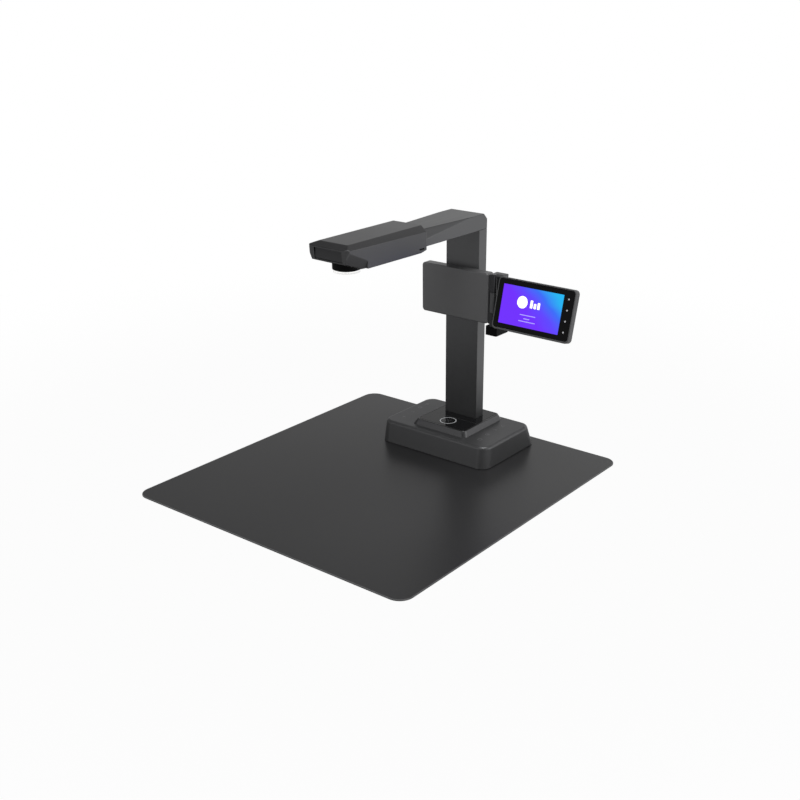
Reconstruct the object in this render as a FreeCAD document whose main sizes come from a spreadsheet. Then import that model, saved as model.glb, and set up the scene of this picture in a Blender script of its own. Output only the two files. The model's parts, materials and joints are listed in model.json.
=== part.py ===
import FreeCAD, Part
import os
import Sketcher

# Book scanner: a document mat, a weighted base with a touch panel, a column with a forward arm,
# a camera head over the mat, and a small display on a hinged bracket at the column's right side.
# X runs to the user's right, Y away from the user, Z up.  The origin is the centre of the mat's
# underside.  Millimetres and degrees.

doc = FreeCAD.newDocument("book_scanner")
sheet = doc.addObject("Spreadsheet::Sheet", "Sizes")
nodes = []


# ---------------------------------------------------------------- sizes

class Size:
    """A length or angle: its value, and the sheet expression that gives it."""

    def __init__(self, value, text):
        self.value = value
        self.text = text

    def __add__(self, other):
        other = as_size(other)
        return Size(self.value + other.value, "(" + self.text + " + " + other.text + ")")

    def __sub__(self, other):
        other = as_size(other)
        return Size(self.value - other.value, "(" + self.text + " - " + other.text + ")")

    def __mul__(self, other):
        other = as_size(other)
        return Size(self.value * other.value, self.text + " * " + other.text)

    def __truediv__(self, other):
        other = as_size(other)
        return Size(self.value / other.value, self.text + " / " + other.text)

    def __radd__(self, other):
        return as_size(other) + self

    def __rsub__(self, other):
        return as_size(other) - self

    def __rmul__(self, other):
        return as_size(other) * self

    def __neg__(self):
        return as_size(0) - self


def as_size(number):
    return number if isinstance(number, Size) else Size(float(number),
                                                        "(" + repr(float(number)) + ")")


def size(alias, number):
    """One driving dimension: a plain number in the next row of the sheet."""
    size.row += 1
    sheet.set("A" + str(size.row), alias)
    sheet.set("B" + str(size.row), str(number))
    sheet.setAlias("B" + str(size.row), alias)
    sheet.recompute()
    return Size(float(sheet.get(alias)), "Sizes." + alias)


size.row = 0

# Mat
mat_width = size("mat_width", 480)
mat_depth = size("mat_depth", 512)
mat_thickness = size("mat_thickness", 2)
mat_corner = size("mat_corner", 20)

# Base
unit_x = size("unit_x", 6)
base_width = size("base_width", 198)
base_front = size("base_front", 101)
base_depth = size("base_depth", 139)
base_height = size("base_height", 33)
base_side_draft = size("base_side_draft", 1.5)
base_front_draft = size("base_front_draft", 5)
base_back_draft = size("base_back_draft", 14)
base_corner = size("base_corner", 17)
base_edge = size("base_edge", 5)
base_gap = size("base_gap", 1)
shell_wall = size("shell_wall", 2.5)
plate_thickness = size("plate_thickness", 2)
foot_radius = size("foot_radius", 8)
foot_recess = size("foot_recess", 1)
fit_gap = size("fit_gap", 0.2)

# Plinth and touch panel
plinth_width = size("plinth_width", 99)
plinth_setback = size("plinth_setback", 18)
plinth_depth = size("plinth_depth", 101)
plinth_height = size("plinth_height", 8.5)
plinth_draft = size("plinth_draft", 4)
plinth_corner = size("plinth_corner", 8)
plinth_rim = size("plinth_rim", 3)
panel_thickness = size("panel_thickness", 1.5)
ring_setback = size("ring_setback", 25.5)
ring_radius = size("ring_radius", 13)
ring_width = size("ring_width", 2)
button_gap = size("button_gap", 0.3)
button_proud = size("button_proud", 0.5)
button_travel = size("button_travel", 0.8)

# Column
column_width = size("column_width", 58)
column_depth = size("column_depth", 19)
column_setback = size("column_setback", 75)
column_wall = size("column_wall", 1.8)
plug_gap = size("plug_gap", 0.3)
foot_plate_thickness = size("foot_plate_thickness", 4)

# Arm
arm_bottom = size("arm_bottom", 330)
arm_height = size("arm_height", 22)
arm_clearance = size("arm_clearance", 65.5)
arm_back_chamfer = size("arm_back_chamfer", 8)
arm_facet_width = size("arm_facet_width", 8)
arm_facet_height = size("arm_facet_height", 12)
arm_wall = size("arm_wall", 2)
beam_width = size("beam_width", 36)
beam_height = size("beam_height", 7)
plug_length = size("plug_length", 44)

# Camera head
head_width = size("head_width", 75)
head_top_width = size("head_top_width", 47.5)
head_rise = size("head_rise", 6.7)
head_band_height = size("head_band_height", 5.8)
head_drop = size("head_drop", 3.7)
head_length = size("head_length", 159)
head_back_rake = size("head_back_rake", 3)
head_back_undercut = size("head_back_undercut", 14)
head_back_lip = size("head_back_lip", 3)
head_back_inset = size("head_back_inset", 6)
head_taper = size("head_taper", 3.5)
head_front = size("head_front", -109)
head_front_chamfer = size("head_front_chamfer", 12)
head_front_drop = size("head_front_drop", 4.5)
nose_lift = size("nose_lift", 10.2)
nose_rake = size("nose_rake", 2)
nose_width = size("nose_width", 58)
nose_corner = size("nose_corner", 4.5)
cheek_setback = size("cheek_setback", 37)
cheek_step = size("cheek_step", 6)
cheek_rake_height = size("cheek_rake_height", 10.5)
nose_bottom_width = size("nose_bottom_width", 56)
head_wall = size("head_wall", 2.2)
window_width = size("window_width", 46)
window_height = size("window_height", 14)
window_recess = size("window_recess", 0.8)
slot_length = size("slot_length", 10)
slot_height = size("slot_height", 2)

# Lens and lamp
lens_setback = size("lens_setback", 35.5)
hood_radius = size("hood_radius", 18.5)
hood_wall = size("hood_wall", 2)
hood_drop = size("hood_drop", 4.3)
diffuser_drop = size("diffuser_drop", 4)
diffuser_disc = size("diffuser_disc", 2)
barrel_radius = size("barrel_radius", 8.5)
barrel_wall = size("barrel_wall", 2)
carrier_lift = size("carrier_lift", 17.7)
board_thickness = size("board_thickness", 1.6)

# Display bracket on the column
bracket_left = size("bracket_left", 63)
bracket_right = size("bracket_right", 56)
bracket_bottom = size("bracket_bottom", 202)
bracket_height = size("bracket_height", 73)
bracket_depth = size("bracket_depth", 14)
bracket_corner = size("bracket_corner", 5)
bracket_wall = size("bracket_wall", 2)

# Hinge between the bracket and the swing block
leaf_thickness = size("leaf_thickness", 1.5)
knuckle_radius = size("knuckle_radius", 5)
knuckle_gap = size("knuckle_gap", 0.4)
knuckle_top_length = size("knuckle_top_length", 25)
knuckle_bottom_length = size("knuckle_bottom_length", 20)
pin_radius = size("pin_radius", 2)
running_gap = size("running_gap", 0.05)
hinge_lead = size("hinge_lead", 11)

# Swing block and tilt shaft
block_width = size("block_width", 20)
block_depth = size("block_depth", 14)
block_drop = size("block_drop", 12)
block_height = size("block_height", 82)
block_gap = size("block_gap", 0.5)
block_overhang = size("block_overhang", 12)
block_wall = size("block_wall", 2.5)
tilt_lift = size("tilt_lift", 30.4)
tilt_setback = size("tilt_setback", 8)
tilt_rest = size("tilt_rest", 14)
shaft_radius = size("shaft_radius", 3)
ear_thickness = size("ear_thickness", 5)
ear_radius = size("ear_radius", 7.5)

# Display, measured from its tilt axis in the upright position
display_gap = size("display_gap", 2.5)
display_width = size("display_width", 126)
display_height = size("display_height", 73)
display_depth = size("display_depth", 11)
display_setback = size("display_setback", 18.9)
display_corner = size("display_corner", 6)
display_wall = size("display_wall", 1.8)
glass_width = size("glass_width", 122)
glass_height = size("glass_height", 68)
glass_thickness = size("glass_thickness", 1.1)
screen_width = size("screen_width", 98)
screen_height = size("screen_height", 54.5)
screen_inset = size("screen_inset", 8)

# Screws
screw_radius = size("screw_radius", 1.5)
screw_head_radius = size("screw_head_radius", 2.8)
screw_head_height = size("screw_head_height", 1.8)

# Sockets, board and ballast
usb_width = size("usb_width", 9)
usb_height = size("usb_height", 3.3)
inlet_radius = size("inlet_radius", 4)
inlet_bore = size("inlet_bore", 2.9)
socket_reach = size("socket_reach", 14)
boss_radius = size("boss_radius", 4)
base_screw_length = size("base_screw_length", 8)
ballast_height = size("ballast_height", 14)
ballast_gap = size("ballast_gap", 6)
board_drop = size("board_drop", 6)
post_radius = size("post_radius", 2.5)
switch_half = size("switch_half", 3)
switch_height = size("switch_height", 3.5)
sleeve_gap = size("sleeve_gap", 0.3)
foot_reach = size("foot_reach", 16)
foot_plug_height = size("foot_plug_height", 34)

# Inside the arm and the head
arm_screw_length = size("arm_screw_length", 6)
beam_clearance = size("beam_clearance", 33.5)
post_radius_head = size("post_radius_head", 3.5)
carrier_half = size("carrier_half", 19)
head_screw_length = size("head_screw_length", 18)
carrier_screw_length = size("carrier_screw_length", 6)
camera_board_half = size("camera_board_half", 11)

# Inside the bracket, the swing block and the display
bracket_screw_inset = size("bracket_screw_inset", 14)
driver_inset = size("driver_inset", 14)
driver_gap = size("driver_gap", 3)
block_chamfer = size("block_chamfer", 3)
clamp_half = size("clamp_half", 5)
housing_edge = size("housing_edge", 2)
mount_screw_length = size("mount_screw_length", 5)

# Derived places
mat_half_x = mat_width / 2
mat_half_y = mat_depth / 2
base_bottom = mat_thickness + base_gap
base_top = base_bottom + base_height
base_back = base_front + base_depth
base_half = base_width / 2
base_floor = base_bottom + plate_thickness
board_z = base_top - board_drop
plinth_top = base_top + plinth_height
plinth_half = plinth_width / 2
plinth_front = base_front + plinth_setback
plinth_back = plinth_front + plinth_depth
panel_bottom = plinth_top - panel_thickness
ring_y = plinth_front + ring_setback
column_front = base_front + column_setback
column_back = column_front + column_depth
column_left = unit_x - column_width / 2
column_right = unit_x + column_width / 2
arm_top = arm_bottom + arm_height
head_half = head_width / 2
head_top = arm_top + head_rise
head_bottom = arm_bottom - head_drop
head_back = head_front + head_length
head_shoulder = head_top - head_band_height
nose_bottom = head_bottom + nose_lift
cheek_front = head_front + cheek_setback
lens_y = head_front + lens_setback
arm_front = lens_y + arm_clearance
beam_nose = lens_y + beam_clearance
hood_bottom = head_bottom - hood_drop
carrier_z = head_bottom + carrier_lift
bracket_front = column_front - bracket_depth
bracket_top = bracket_bottom + bracket_height
hinge_x = unit_x + bracket_right + leaf_thickness + knuckle_radius + 0.5
hinge_y = column_front - hinge_lead
block_left = hinge_x - block_overhang
block_front = column_front + block_gap
block_right = block_left + block_width
block_bottom = bracket_bottom - block_drop
block_top = block_bottom + block_height
tilt_y = column_front + tilt_setback
tilt_z = bracket_bottom + tilt_lift
display_left = block_right + display_gap


# ---------------------------------------------------------------- building helpers

def bind(thing, prop, length):
    thing.setExpression(prop, as_size(length).text)


def vector(x, y, z):
    return FreeCAD.Vector(as_size(x).value, as_size(y).value, as_size(z).value)


def keep(thing, label):
    """Marks a finished sub-part: its label names its node."""
    thing.Label = label
    nodes.append(thing)
    return thing


def block(name, xs, ys, zs):
    """A box between pairs of limits."""
    box = doc.addObject("Part::Box", name)
    for prop, (low, high) in (("Length", xs), ("Width", ys), ("Height", zs)):
        bind(box, prop, as_size(high) - low)
    for axis, limits in (("x", xs), ("y", ys), ("z", zs)):
        bind(box, "Placement.Base." + axis, limits[0])
    return box


TURNS = {
    "X": FreeCAD.Rotation(FreeCAD.Vector(0, 1, 0), 90),
    "Y": FreeCAD.Rotation(FreeCAD.Vector(1, 0, 0), -90),
    "Z": FreeCAD.Rotation(),
}


def rod(name, axis, radius, start, length):
    """A cylinder from a start point along +X, +Y or +Z."""
    cylinder = doc.addObject("Part::Cylinder", name)
    bind(cylinder, "Radius", radius)
    bind(cylinder, "Height", length)
    cylinder.Placement.Rotation = TURNS[axis]
    for letter, place in zip("xyz", start):
        bind(cylinder, "Placement.Base." + letter, place)
    return cylinder


def fuse(name, parts):
    joined = doc.addObject("Part::MultiFuse", name)
    joined.Shapes = parts
    return joined


def cut(name, base, tools):
    tool = tools[0] if len(tools) == 1 else fuse(name + "_tools", tools)
    result = doc.addObject("Part::Cut", name)
    result.Base = base
    result.Tool = tool
    return result


def common(name, parts):
    result = doc.addObject("Part::MultiCommon", name)
    result.Shapes = parts
    return result


def new_sketch(body, plane, offset, name):
    """A sketch parallel to one of the body's own origin planes."""
    sketch = body.newObject("Sketcher::SketchObject", name)
    for feature in body.Origin.OriginFeatures:
        if feature.Role == plane + "_Plane":
            sketch.AttachmentSupport = (feature, "")
    sketch.MapMode = "FlatFace"
    bind(sketch, "AttachmentOffset.Base.z", offset)
    return sketch


def pin_point(sketch, geometry, point, place):
    """Ties one sketch point to the sketch origin with bound distances."""
    for kind, length in (("DistanceX", place[0]), ("DistanceY", place[1])):
        length = as_size(length)
        index = sketch.addConstraint(
            Sketcher.Constraint(kind, -1, 1, geometry, point, length.value))
        bind(sketch, "Constraints[" + str(index) + "]", length)


def draw_outline(sketch, corners):
    """A closed polygon through the corners, each tied to the sketch origin."""
    places = [vector(u, v, 0) for u, v in corners]
    first = sketch.GeometryCount
    count = len(corners)
    for i in range(count):
        sketch.addGeometry(Part.LineSegment(places[i], places[(i + 1) % count]), False)
    for i in range(count):
        sketch.addConstraint(
            Sketcher.Constraint("Coincident", first + i, 2, first + (i + 1) % count, 1))
    for i, corner in enumerate(corners):
        pin_point(sketch, first + i, 1, corner)


def prism(name, plane, corners, low, high):
    """A polygon padded between two limits along its plane's normal.

    XY pads along +Z, YZ along +X and XZ along -Y, whose sketch sits at the far limit.
    """
    body = doc.addObject("PartDesign::Body", name)
    offset = -as_size(high) if plane == "XZ" else low
    sketch = new_sketch(body, plane, offset, name + "_sketch")
    draw_outline(sketch, corners)
    pad = body.newObject("PartDesign::Pad", name + "_pad")
    pad.Profile = sketch
    bind(pad, "Length", as_size(high) - low)
    sketch.Visibility = False
    doc.recompute()
    return body


def rectangle(us, vs):
    return [(us[0], vs[0]), (us[1], vs[0]), (us[1], vs[1]), (us[0], vs[1])]


def frustum(name, bottom, top, low, high):
    """A block whose four sides slope from one pair of limits to another."""
    (x0, x1), (y0, y1) = bottom
    (x2, x3), (y2, y3) = top
    side = prism(name + "_side", "YZ", [(y0, low), (y1, low), (y3, high), (y2, high)], x0 - 1,
                 x1 + 1)
    front = prism(name + "_front", "XZ", [(x0, low), (x1, low), (x3, high), (x2, high)], y0 - 1,
                  y1 + 1)
    return common(name, [side, front])


def round_part(name, base, radius, wanted):
    """Rounds the edges of a primitive or boolean that a test picks out."""
    doc.recompute()
    fillet = doc.addObject("Part::Fillet", name)
    fillet.Base = base
    fillet.Edges = [(i + 1, radius.value, radius.value)
                    for i, edge in enumerate(base.Shape.Edges) if wanted(edge)]
    return fillet


def round_edges(body, radius, wanted):
    """Fillets the edges of the body's tip that a test picks out."""
    tip = body.Tip
    picked = ["Edge" + str(i + 1) for i, edge in enumerate(tip.Shape.Edges) if wanted(edge)]
    fillet = body.newObject("PartDesign::Fillet", body.Name + "_round" + str(len(body.Group)))
    fillet.Base = (tip, picked)
    bind(fillet, "Radius", radius)
    doc.recompute()
    return body


def along(axis):
    """A test for edges that run along one axis, give or take a draft angle."""
    direction = {"X": FreeCAD.Vector(1, 0, 0), "Y": FreeCAD.Vector(0, 1, 0),
                 "Z": FreeCAD.Vector(0, 0, 1)}[axis]

    def wanted(edge):
        if len(edge.Vertexes) < 2:
            return False
        run = edge.Vertexes[1].Point - edge.Vertexes[0].Point
        return abs(run * direction) > 0.7 * edge.Length
    return wanted


def rounded_block(name, plane, us, vs, low, high, radius):
    """A padded rectangle with its four corners rounded."""
    body = prism(name, plane, rectangle(us, vs), low, high)
    axis = {"XY": "Z", "XZ": "Y", "YZ": "X"}[plane]
    return round_edges(body, radius, along(axis))


def facet(name, corners, inset=0):
    """A slanted cutter: all that lies beyond the plane through three corners.

    The corners run anticlockwise seen from outside.  Neither a primitive nor a sketch on an
    origin plane lies on these slanted planes, so the solid is made from the sheet's values.
    """
    points = [vector(*corner) for corner in corners]
    along_plane = (points[1] - points[0]).normalize()
    normal = along_plane.cross(points[2] - points[0]).normalize()
    across_plane = normal.cross(along_plane)
    reach = 3 * max((points[1] - points[0]).Length, (points[2] - points[0]).Length)
    middle = points[0] - normal * as_size(inset).value
    quad = [middle + along_plane * (reach * a) + across_plane * (reach * b)
            for a, b in ((-1, -1), (1, -1), (1, 1), (-1, 1))]
    cutter = doc.addObject("Part::Feature", name)
    cutter.Shape = Part.Face(Part.makePolygon(quad + quad[:1])).extrude(normal * reach)
    return cutter


def screws(label, axis, heads_first, places, length):
    """Identical screws: a round head and a shank each, as one group of separate solids."""
    letter = "XYZ".index(axis)
    pieces = []
    for i, place in enumerate(places):
        head_start = list(place)
        shank_start = list(place)
        if heads_first:
            shank_start[letter] = place[letter] + screw_head_height
        else:
            shank_start[letter] = place[letter] - length
        name = label + "_" + str(i)
        pieces.append(rod(name + "_head", axis, screw_head_radius, head_start, screw_head_height))
        pieces.append(rod(name + "_shank", axis, screw_radius, shank_start, length))
    return keep(fuse(label, pieces), label)


def holes(name, axis, radius, places, length):
    return [rod(name + str(i), axis, radius, place, length) for i, place in enumerate(places)]


def grid(xs, ys):
    return [(x, y) for x in xs for y in ys]


def inset(limits, amount):
    return limits[0] + amount, limits[1] - amount


# ---------------------------------------------------------------- mat and base

def across(half):
    """Limits either side of the scanner's own centre line."""
    return unit_x - half, unit_x + half


keep(rounded_block("mat", "XY", (-mat_half_x, mat_half_x), (-mat_half_y, mat_half_y),
                   0, mat_thickness, mat_corner), "mat")

foot_inset = base_corner + foot_radius / 2
feet = grid((unit_x - base_half + foot_inset, unit_x + base_half - foot_inset),
            (base_front + foot_inset, base_back - foot_inset))
foot_places = [(x, y, mat_thickness) for x, y in feet]
keep(fuse("rubber_feet", holes("foot", "Z", foot_radius, foot_places, base_gap + foot_recess)),
     "rubber_feet")

def above(height):
    """A test for edges at or above a height."""
    return lambda edge: edge.BoundBox.ZMin > height.value - 0.01


base_block = frustum("base_block", (across(base_half), (base_front, base_back)),
                     (across(base_half - base_side_draft),
                      (base_front + base_front_draft, base_back - base_back_draft)), base_bottom,
                     base_top)
base_rounded = round_part("base_rounded", base_block, base_corner, along("Z"))
base_outer = round_part("base_outer", base_rounded, base_edge, above(base_top))
cavity_block = frustum("cavity_block",
                       (across(base_half - shell_wall), (base_front + shell_wall,
                                                         base_back - shell_wall)),
                       (across(base_half - base_side_draft - shell_wall),
                        (base_front + base_front_draft + shell_wall,
                         base_back - base_back_draft - shell_wall)),
                       base_bottom - 0.01, base_top - shell_wall)
base_cavity = round_part("base_cavity", cavity_block, base_corner - shell_wall, along("Z"))
# The board bay under the plinth opens through the base's top.
bay_half = plinth_half - plinth_draft - plinth_rim - shell_wall
bay = block("base_shell_bay", across(bay_half), (ring_y - ring_radius - 8, column_front - 4),
            (base_top - shell_wall - 1, base_top + 1))
column_hole = block("base_shell_column_hole", (column_left - fit_gap, column_right + fit_gap),
                    (column_front - fit_gap, column_back + fit_gap),
                    (base_top - shell_wall - 1, base_top + 1))

# Sockets on the left side
socket_wall_x = unit_x - base_half + base_side_draft + shell_wall
socket_z = base_floor + 3
usb_y = base_front + base_depth * 0.55
inlet_y = usb_y + 24
usb_window = block("usb_window", (unit_x - base_half - 1, socket_wall_x + 1),
                   (usb_y - usb_width / 2 - fit_gap, usb_y + usb_width / 2 + fit_gap),
                   (socket_z + 2 - fit_gap, socket_z + 2 + usb_height + fit_gap))
inlet_window = rod("inlet_window", "X", inlet_radius + fit_gap,
                   (unit_x - base_half - 1, inlet_y, socket_z + inlet_radius + 1),
                   base_side_draft + shell_wall + 4)
boss_places = [(x, y, base_floor + fit_gap) for x, y in grid(
    (unit_x - base_half + foot_inset + foot_radius + 7,
     unit_x + base_half - foot_inset - foot_radius - 7),
    (base_front + foot_inset - 4, base_back - foot_inset + 1))]
boss_length = base_height - plate_thickness - shell_wall - fit_gap + 0.5
bosses = holes("boss", "Z", boss_radius, boss_places, boss_length)
shell_hollow = cut("base_shell_hollow", base_outer, [base_cavity])
shell_solid = fuse("base_shell_solid", [shell_hollow] + bosses)
pilot = screw_radius + 0.05
boss_pilots = holes("boss_pilot", "Z", pilot, [(x, y, base_bottom) for x, y, z in boss_places],
                    plate_thickness + base_screw_length + 1)
keep(cut("base_shell", shell_solid, [bay, column_hole, usb_window, inlet_window] + boss_pilots),
     "base_shell")

plate_blank = rounded_block("base_plate_blank", "XY", across(base_half - shell_wall - fit_gap),
                            (base_front + base_front_draft * plate_thickness / base_height + shell_wall + fit_gap,
                             base_back - base_back_draft * plate_thickness / base_height - shell_wall - fit_gap),
                            base_bottom, base_floor, base_corner)
foot_pockets = holes("foot_pocket", "Z", foot_radius + 0.1,
                     [(x, y, base_bottom - 0.01) for x, y, z in foot_places],
                     foot_recess + 0.01)
plate_holes = holes("plate_hole", "Z", pilot, [(x, y, base_bottom - 1) for x, y, z in boss_places],
                    plate_thickness + 2)
plate_sinks = holes("plate_sink", "Z", screw_head_radius + 0.1,
                    [(x, y, base_bottom - 1) for x, y, z in boss_places],
                    1 + screw_head_height / 2)
keep(cut("base_plate", plate_blank, foot_pockets + plate_holes + plate_sinks), "base_plate")
screw_sink = screw_head_height / 2
screws("base_screws", "Z", True, [(x, y, base_bottom - screw_sink) for x, y, z in boss_places],
       base_screw_length)

keep(block("ballast_weight", across(base_half - base_corner - 14),
           (column_back + ballast_gap, base_back - 26),
           (base_floor, base_floor + ballast_height)), "ballast_weight")

# The control board stands on four posts in front of the column.
board_front = ring_y - ring_radius - 6
board_back = column_front - 5
board_half = bay_half - 2
keep(block("control_board", across(board_half), (board_front, board_back),
           (board_z, board_z + board_thickness)), "control_board")
post_places = [(x, y, base_floor) for x, y in grid((unit_x - board_half + 5,
                                                    unit_x + board_half - 5),
                                                   (board_front + 5, board_back - 5))]
keep(fuse("board_posts", holes("post", "Z", post_radius, post_places, board_z - base_floor)),
     "board_posts")
board_top = board_z + board_thickness
keep(block("tact_switch", across(switch_half), (ring_y - switch_half, ring_y + switch_half),
           (board_top, board_top + switch_height)), "tact_switch")

# Sockets: each a body standing on the floor plate with its mouth in the side wall
usb_shell = block("usb_shell", (socket_wall_x - shell_wall, socket_wall_x + socket_reach - 6),
                  (usb_y - usb_width / 2, usb_y + usb_width / 2),
                  (socket_z + 2, socket_z + 2 + usb_height))
usb_mouth = block("usb_mouth", (socket_wall_x - shell_wall - 1, socket_wall_x + 4),
                  (usb_y - usb_width / 2 + 0.3, usb_y + usb_width / 2 - 0.3),
                  (socket_z + 2.3, socket_z + 1.7 + usb_height))
usb_tongue = block("usb_tongue", (socket_wall_x - shell_wall + 0.6, socket_wall_x + 5),
                   (usb_y - usb_width / 2 + 1.2, usb_y + usb_width / 2 - 1.2),
                   (socket_z + 1.7 + usb_height / 2, socket_z + 2.3 + usb_height / 2))
usb_foot = block("usb_foot", (socket_wall_x + 4.5, socket_wall_x + socket_reach - 6),
                 (usb_y - usb_width / 2, usb_y + usb_width / 2), (base_floor, socket_z + 3))
keep(fuse("usb_socket", [cut("usb_hollow", usb_shell, [usb_mouth]), usb_tongue, usb_foot]),
     "usb_socket")
inlet_z = socket_z + inlet_radius + 1
inlet_barrel = rod("inlet_barrel", "X", inlet_radius, (socket_wall_x - shell_wall, inlet_y,
                                                       inlet_z), shell_wall + 4)
inlet_body = block("inlet_body", (socket_wall_x + 2, socket_wall_x + socket_reach),
                   (inlet_y - inlet_radius - 0.5, inlet_y + inlet_radius + 0.5),
                   (base_floor, inlet_z + inlet_radius))
inlet_hole = rod("inlet_hole", "X", inlet_bore, (socket_wall_x - shell_wall - 1, inlet_y, inlet_z),
                 10)
inlet_pin = rod("inlet_pin", "X", 1, (socket_wall_x - shell_wall + 1, inlet_y, inlet_z), 9)
inlet_shell = fuse("inlet_shell", [inlet_barrel, inlet_body])
keep(fuse("dc_inlet", [cut("inlet_hollow", inlet_shell, [inlet_hole]), inlet_pin]), "dc_inlet")

# ---------------------------------------------------------------- plinth, touch panel and button

plinth_block = frustum("plinth_block", (across(plinth_half), (plinth_front, plinth_back)),
                       (across(plinth_half - plinth_draft),
                        (plinth_front + plinth_draft, plinth_back - plinth_draft)),
                       base_top, plinth_top)
plinth_outer = round_part("plinth_outer", plinth_block, plinth_corner, along("Z"))
plinth_bay = block("plinth_bay", across(bay_half), (ring_y - ring_radius - 8, column_front - 4),
                   (base_top - 1, panel_bottom - shell_wall))
panel_half = plinth_half - plinth_draft - plinth_rim
panel_limits = (plinth_front + plinth_draft + plinth_rim, plinth_back - plinth_draft - plinth_rim)
panel_seat = rounded_block("panel_seat", "XY", across(panel_half), panel_limits, panel_bottom,
                           plinth_top + 1,
                           plinth_corner - plinth_rim)
plinth_column_hole = block("plinth_column_hole", (column_left - fit_gap, column_right + fit_gap),
                           (column_front - fit_gap, column_back + fit_gap),
                           (base_top - 1, plinth_top + 1))
button_radius = ring_radius - ring_width - button_gap
ring_seat = rod("ring_seat", "Z", ring_radius + fit_gap, (unit_x, ring_y, panel_bottom - 1.5),
                panel_thickness + 3)
button_well = rod("button_well", "Z", button_radius + sleeve_gap, (unit_x, ring_y, base_top - 1),
                  plinth_height + 2)
keep(cut("plinth_housing", plinth_outer, [plinth_bay, panel_seat, plinth_column_hole, ring_seat,
                                          button_well]),
     "plinth_housing")

panel_blank = rounded_block("panel_blank", "XY", across(panel_half - 0.1),
                            (panel_limits[0] + 0.1, panel_limits[1] - 0.1), panel_bottom,
                            plinth_top,
                            plinth_corner - plinth_rim)
ring_hole = rod("ring_hole", "Z", ring_radius + 0.1, (unit_x, ring_y, panel_bottom - 1),
                panel_thickness + 2)
panel_column_hole = block("panel_column_hole", (column_left - fit_gap, column_right + fit_gap),
                          (column_front - fit_gap, column_back + fit_gap),
                          (panel_bottom - 1, plinth_top + 1))
keep(cut("touch_panel", panel_blank, [ring_hole, panel_column_hole]), "touch_panel")
ring_disc = rod("ring_disc", "Z", ring_radius, (unit_x, ring_y, panel_bottom - 1.5),
                panel_thickness + 1.5 + 0.2)
ring_bore = rod("ring_bore", "Z", ring_radius - ring_width, (unit_x, ring_y, panel_bottom - 3),
                panel_thickness + 6)
keep(cut("ring_light_guide", ring_disc, [ring_bore]), "ring_light_guide")
button_cap = rod("button_cap", "Z", button_radius, (unit_x, ring_y, base_top + 2.5),
                 plinth_height - 2.5 + button_proud)
button_stem = rod("button_stem", "Z", 2, (unit_x, ring_y,
                                          board_top + switch_height + button_travel + 0.1),
                  base_top + 3 - board_top - switch_height - button_travel - 0.1)
keep(fuse("scan_button", [button_cap, button_stem]), "scan_button")

# ---------------------------------------------------------------- column

foot_plate_top = base_floor + foot_plate_thickness
tube_outer = block("tube_outer", (column_left, column_right), (column_front, column_back),
                   (foot_plate_top, arm_bottom))
tube_inner = block("tube_inner", (column_left + column_wall, column_right - column_wall),
                   (column_front + column_wall, column_back - column_wall),
                   (foot_plate_top - 1, arm_bottom + 1))
bracket_z = (bracket_bottom, bracket_top)
bracket_screws_at = grid(across(column_width / 2 - bracket_screw_inset + 4),
                         inset(bracket_z, bracket_screw_inset))
tube_holes = holes("tube_hole", "Y", pilot, [(x, column_front - 1, z) for x,
                                             z in bracket_screws_at], column_wall + 1.5)
keep(cut("column_tube", tube_outer, [tube_inner] + tube_holes), "column_tube")

plug_limits = ((column_left + column_wall + plug_gap, column_right - column_wall - plug_gap),
               (column_front + column_wall + plug_gap, column_back - column_wall - plug_gap))
foot_plate = block("foot_plate", (column_left - foot_reach, column_right + foot_reach),
                   (column_front - 4, column_back + 4), (base_floor, foot_plate_top))
foot_plug = block("foot_plug", *plug_limits, (foot_plate_top - 0.5,
                                              foot_plate_top + foot_plug_height))
foot_screw_places = [(x, y, foot_plate_top) for x, y in grid(
    (column_left - foot_reach / 2, column_right + foot_reach / 2),
        (column_front + 3, column_back - 3))]
foot_holes = holes("foot_hole", "Z", pilot, [(x, y, base_floor - 1) for x, y,
                                             z in foot_screw_places],
                   foot_plate_thickness + 2)
keep(cut("column_foot", fuse("foot_blank", [foot_plate, foot_plug]), foot_holes), "column_foot")
screws("column_foot_screws", "Z", False, foot_screw_places, foot_plate_thickness - 0.1)

# ---------------------------------------------------------------- arm

arm_half = column_width / 2
arm_profile = [(arm_front, arm_bottom), (column_back, arm_bottom),
               (column_back, arm_top - arm_back_chamfer),
               (column_back - arm_back_chamfer, arm_top), (arm_front, arm_top)]
arm_outer = prism("arm_outer", "YZ", arm_profile, *across(arm_half))
arm_inner_profile = [(arm_front - 1, arm_bottom - 1), (column_back - arm_wall, arm_bottom - 1),
                     (column_back - arm_wall, arm_top - arm_back_chamfer - 1),
                     (column_back - arm_back_chamfer - 1, arm_top - arm_wall),
                     (arm_front - 1, arm_top - arm_wall)]
arm_inner = prism("arm_inner", "YZ", arm_inner_profile, *across(arm_half - arm_wall))
facet_start = head_back + 5
facet_end = column_front - 16


def arm_facets(name, inset):
    """Long tapering chamfers on the arm's upper edges, widest where the arm enters the head."""
    left_edge, right_edge = across(arm_half)
    low = arm_top - arm_facet_height
    left = [(left_edge, facet_end, arm_top), (left_edge, facet_start, low),
            (left_edge + arm_facet_width, facet_start, arm_top)]
    right = [(right_edge, facet_end, arm_top), (right_edge - arm_facet_width, facet_start, arm_top),
             (right_edge, facet_start, low)]
    return [facet(name + "_left", left, inset), facet(name + "_right", right, inset)]


arm_faceted = cut("arm_faceted", arm_outer, arm_facets("arm_facet", 0))
inner_faceted = cut("arm_inner_faceted", arm_inner, arm_facets("arm_inner_facet", arm_wall))
keep(cut("arm_shell", arm_faceted, [inner_faceted]), "arm_shell")

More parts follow.
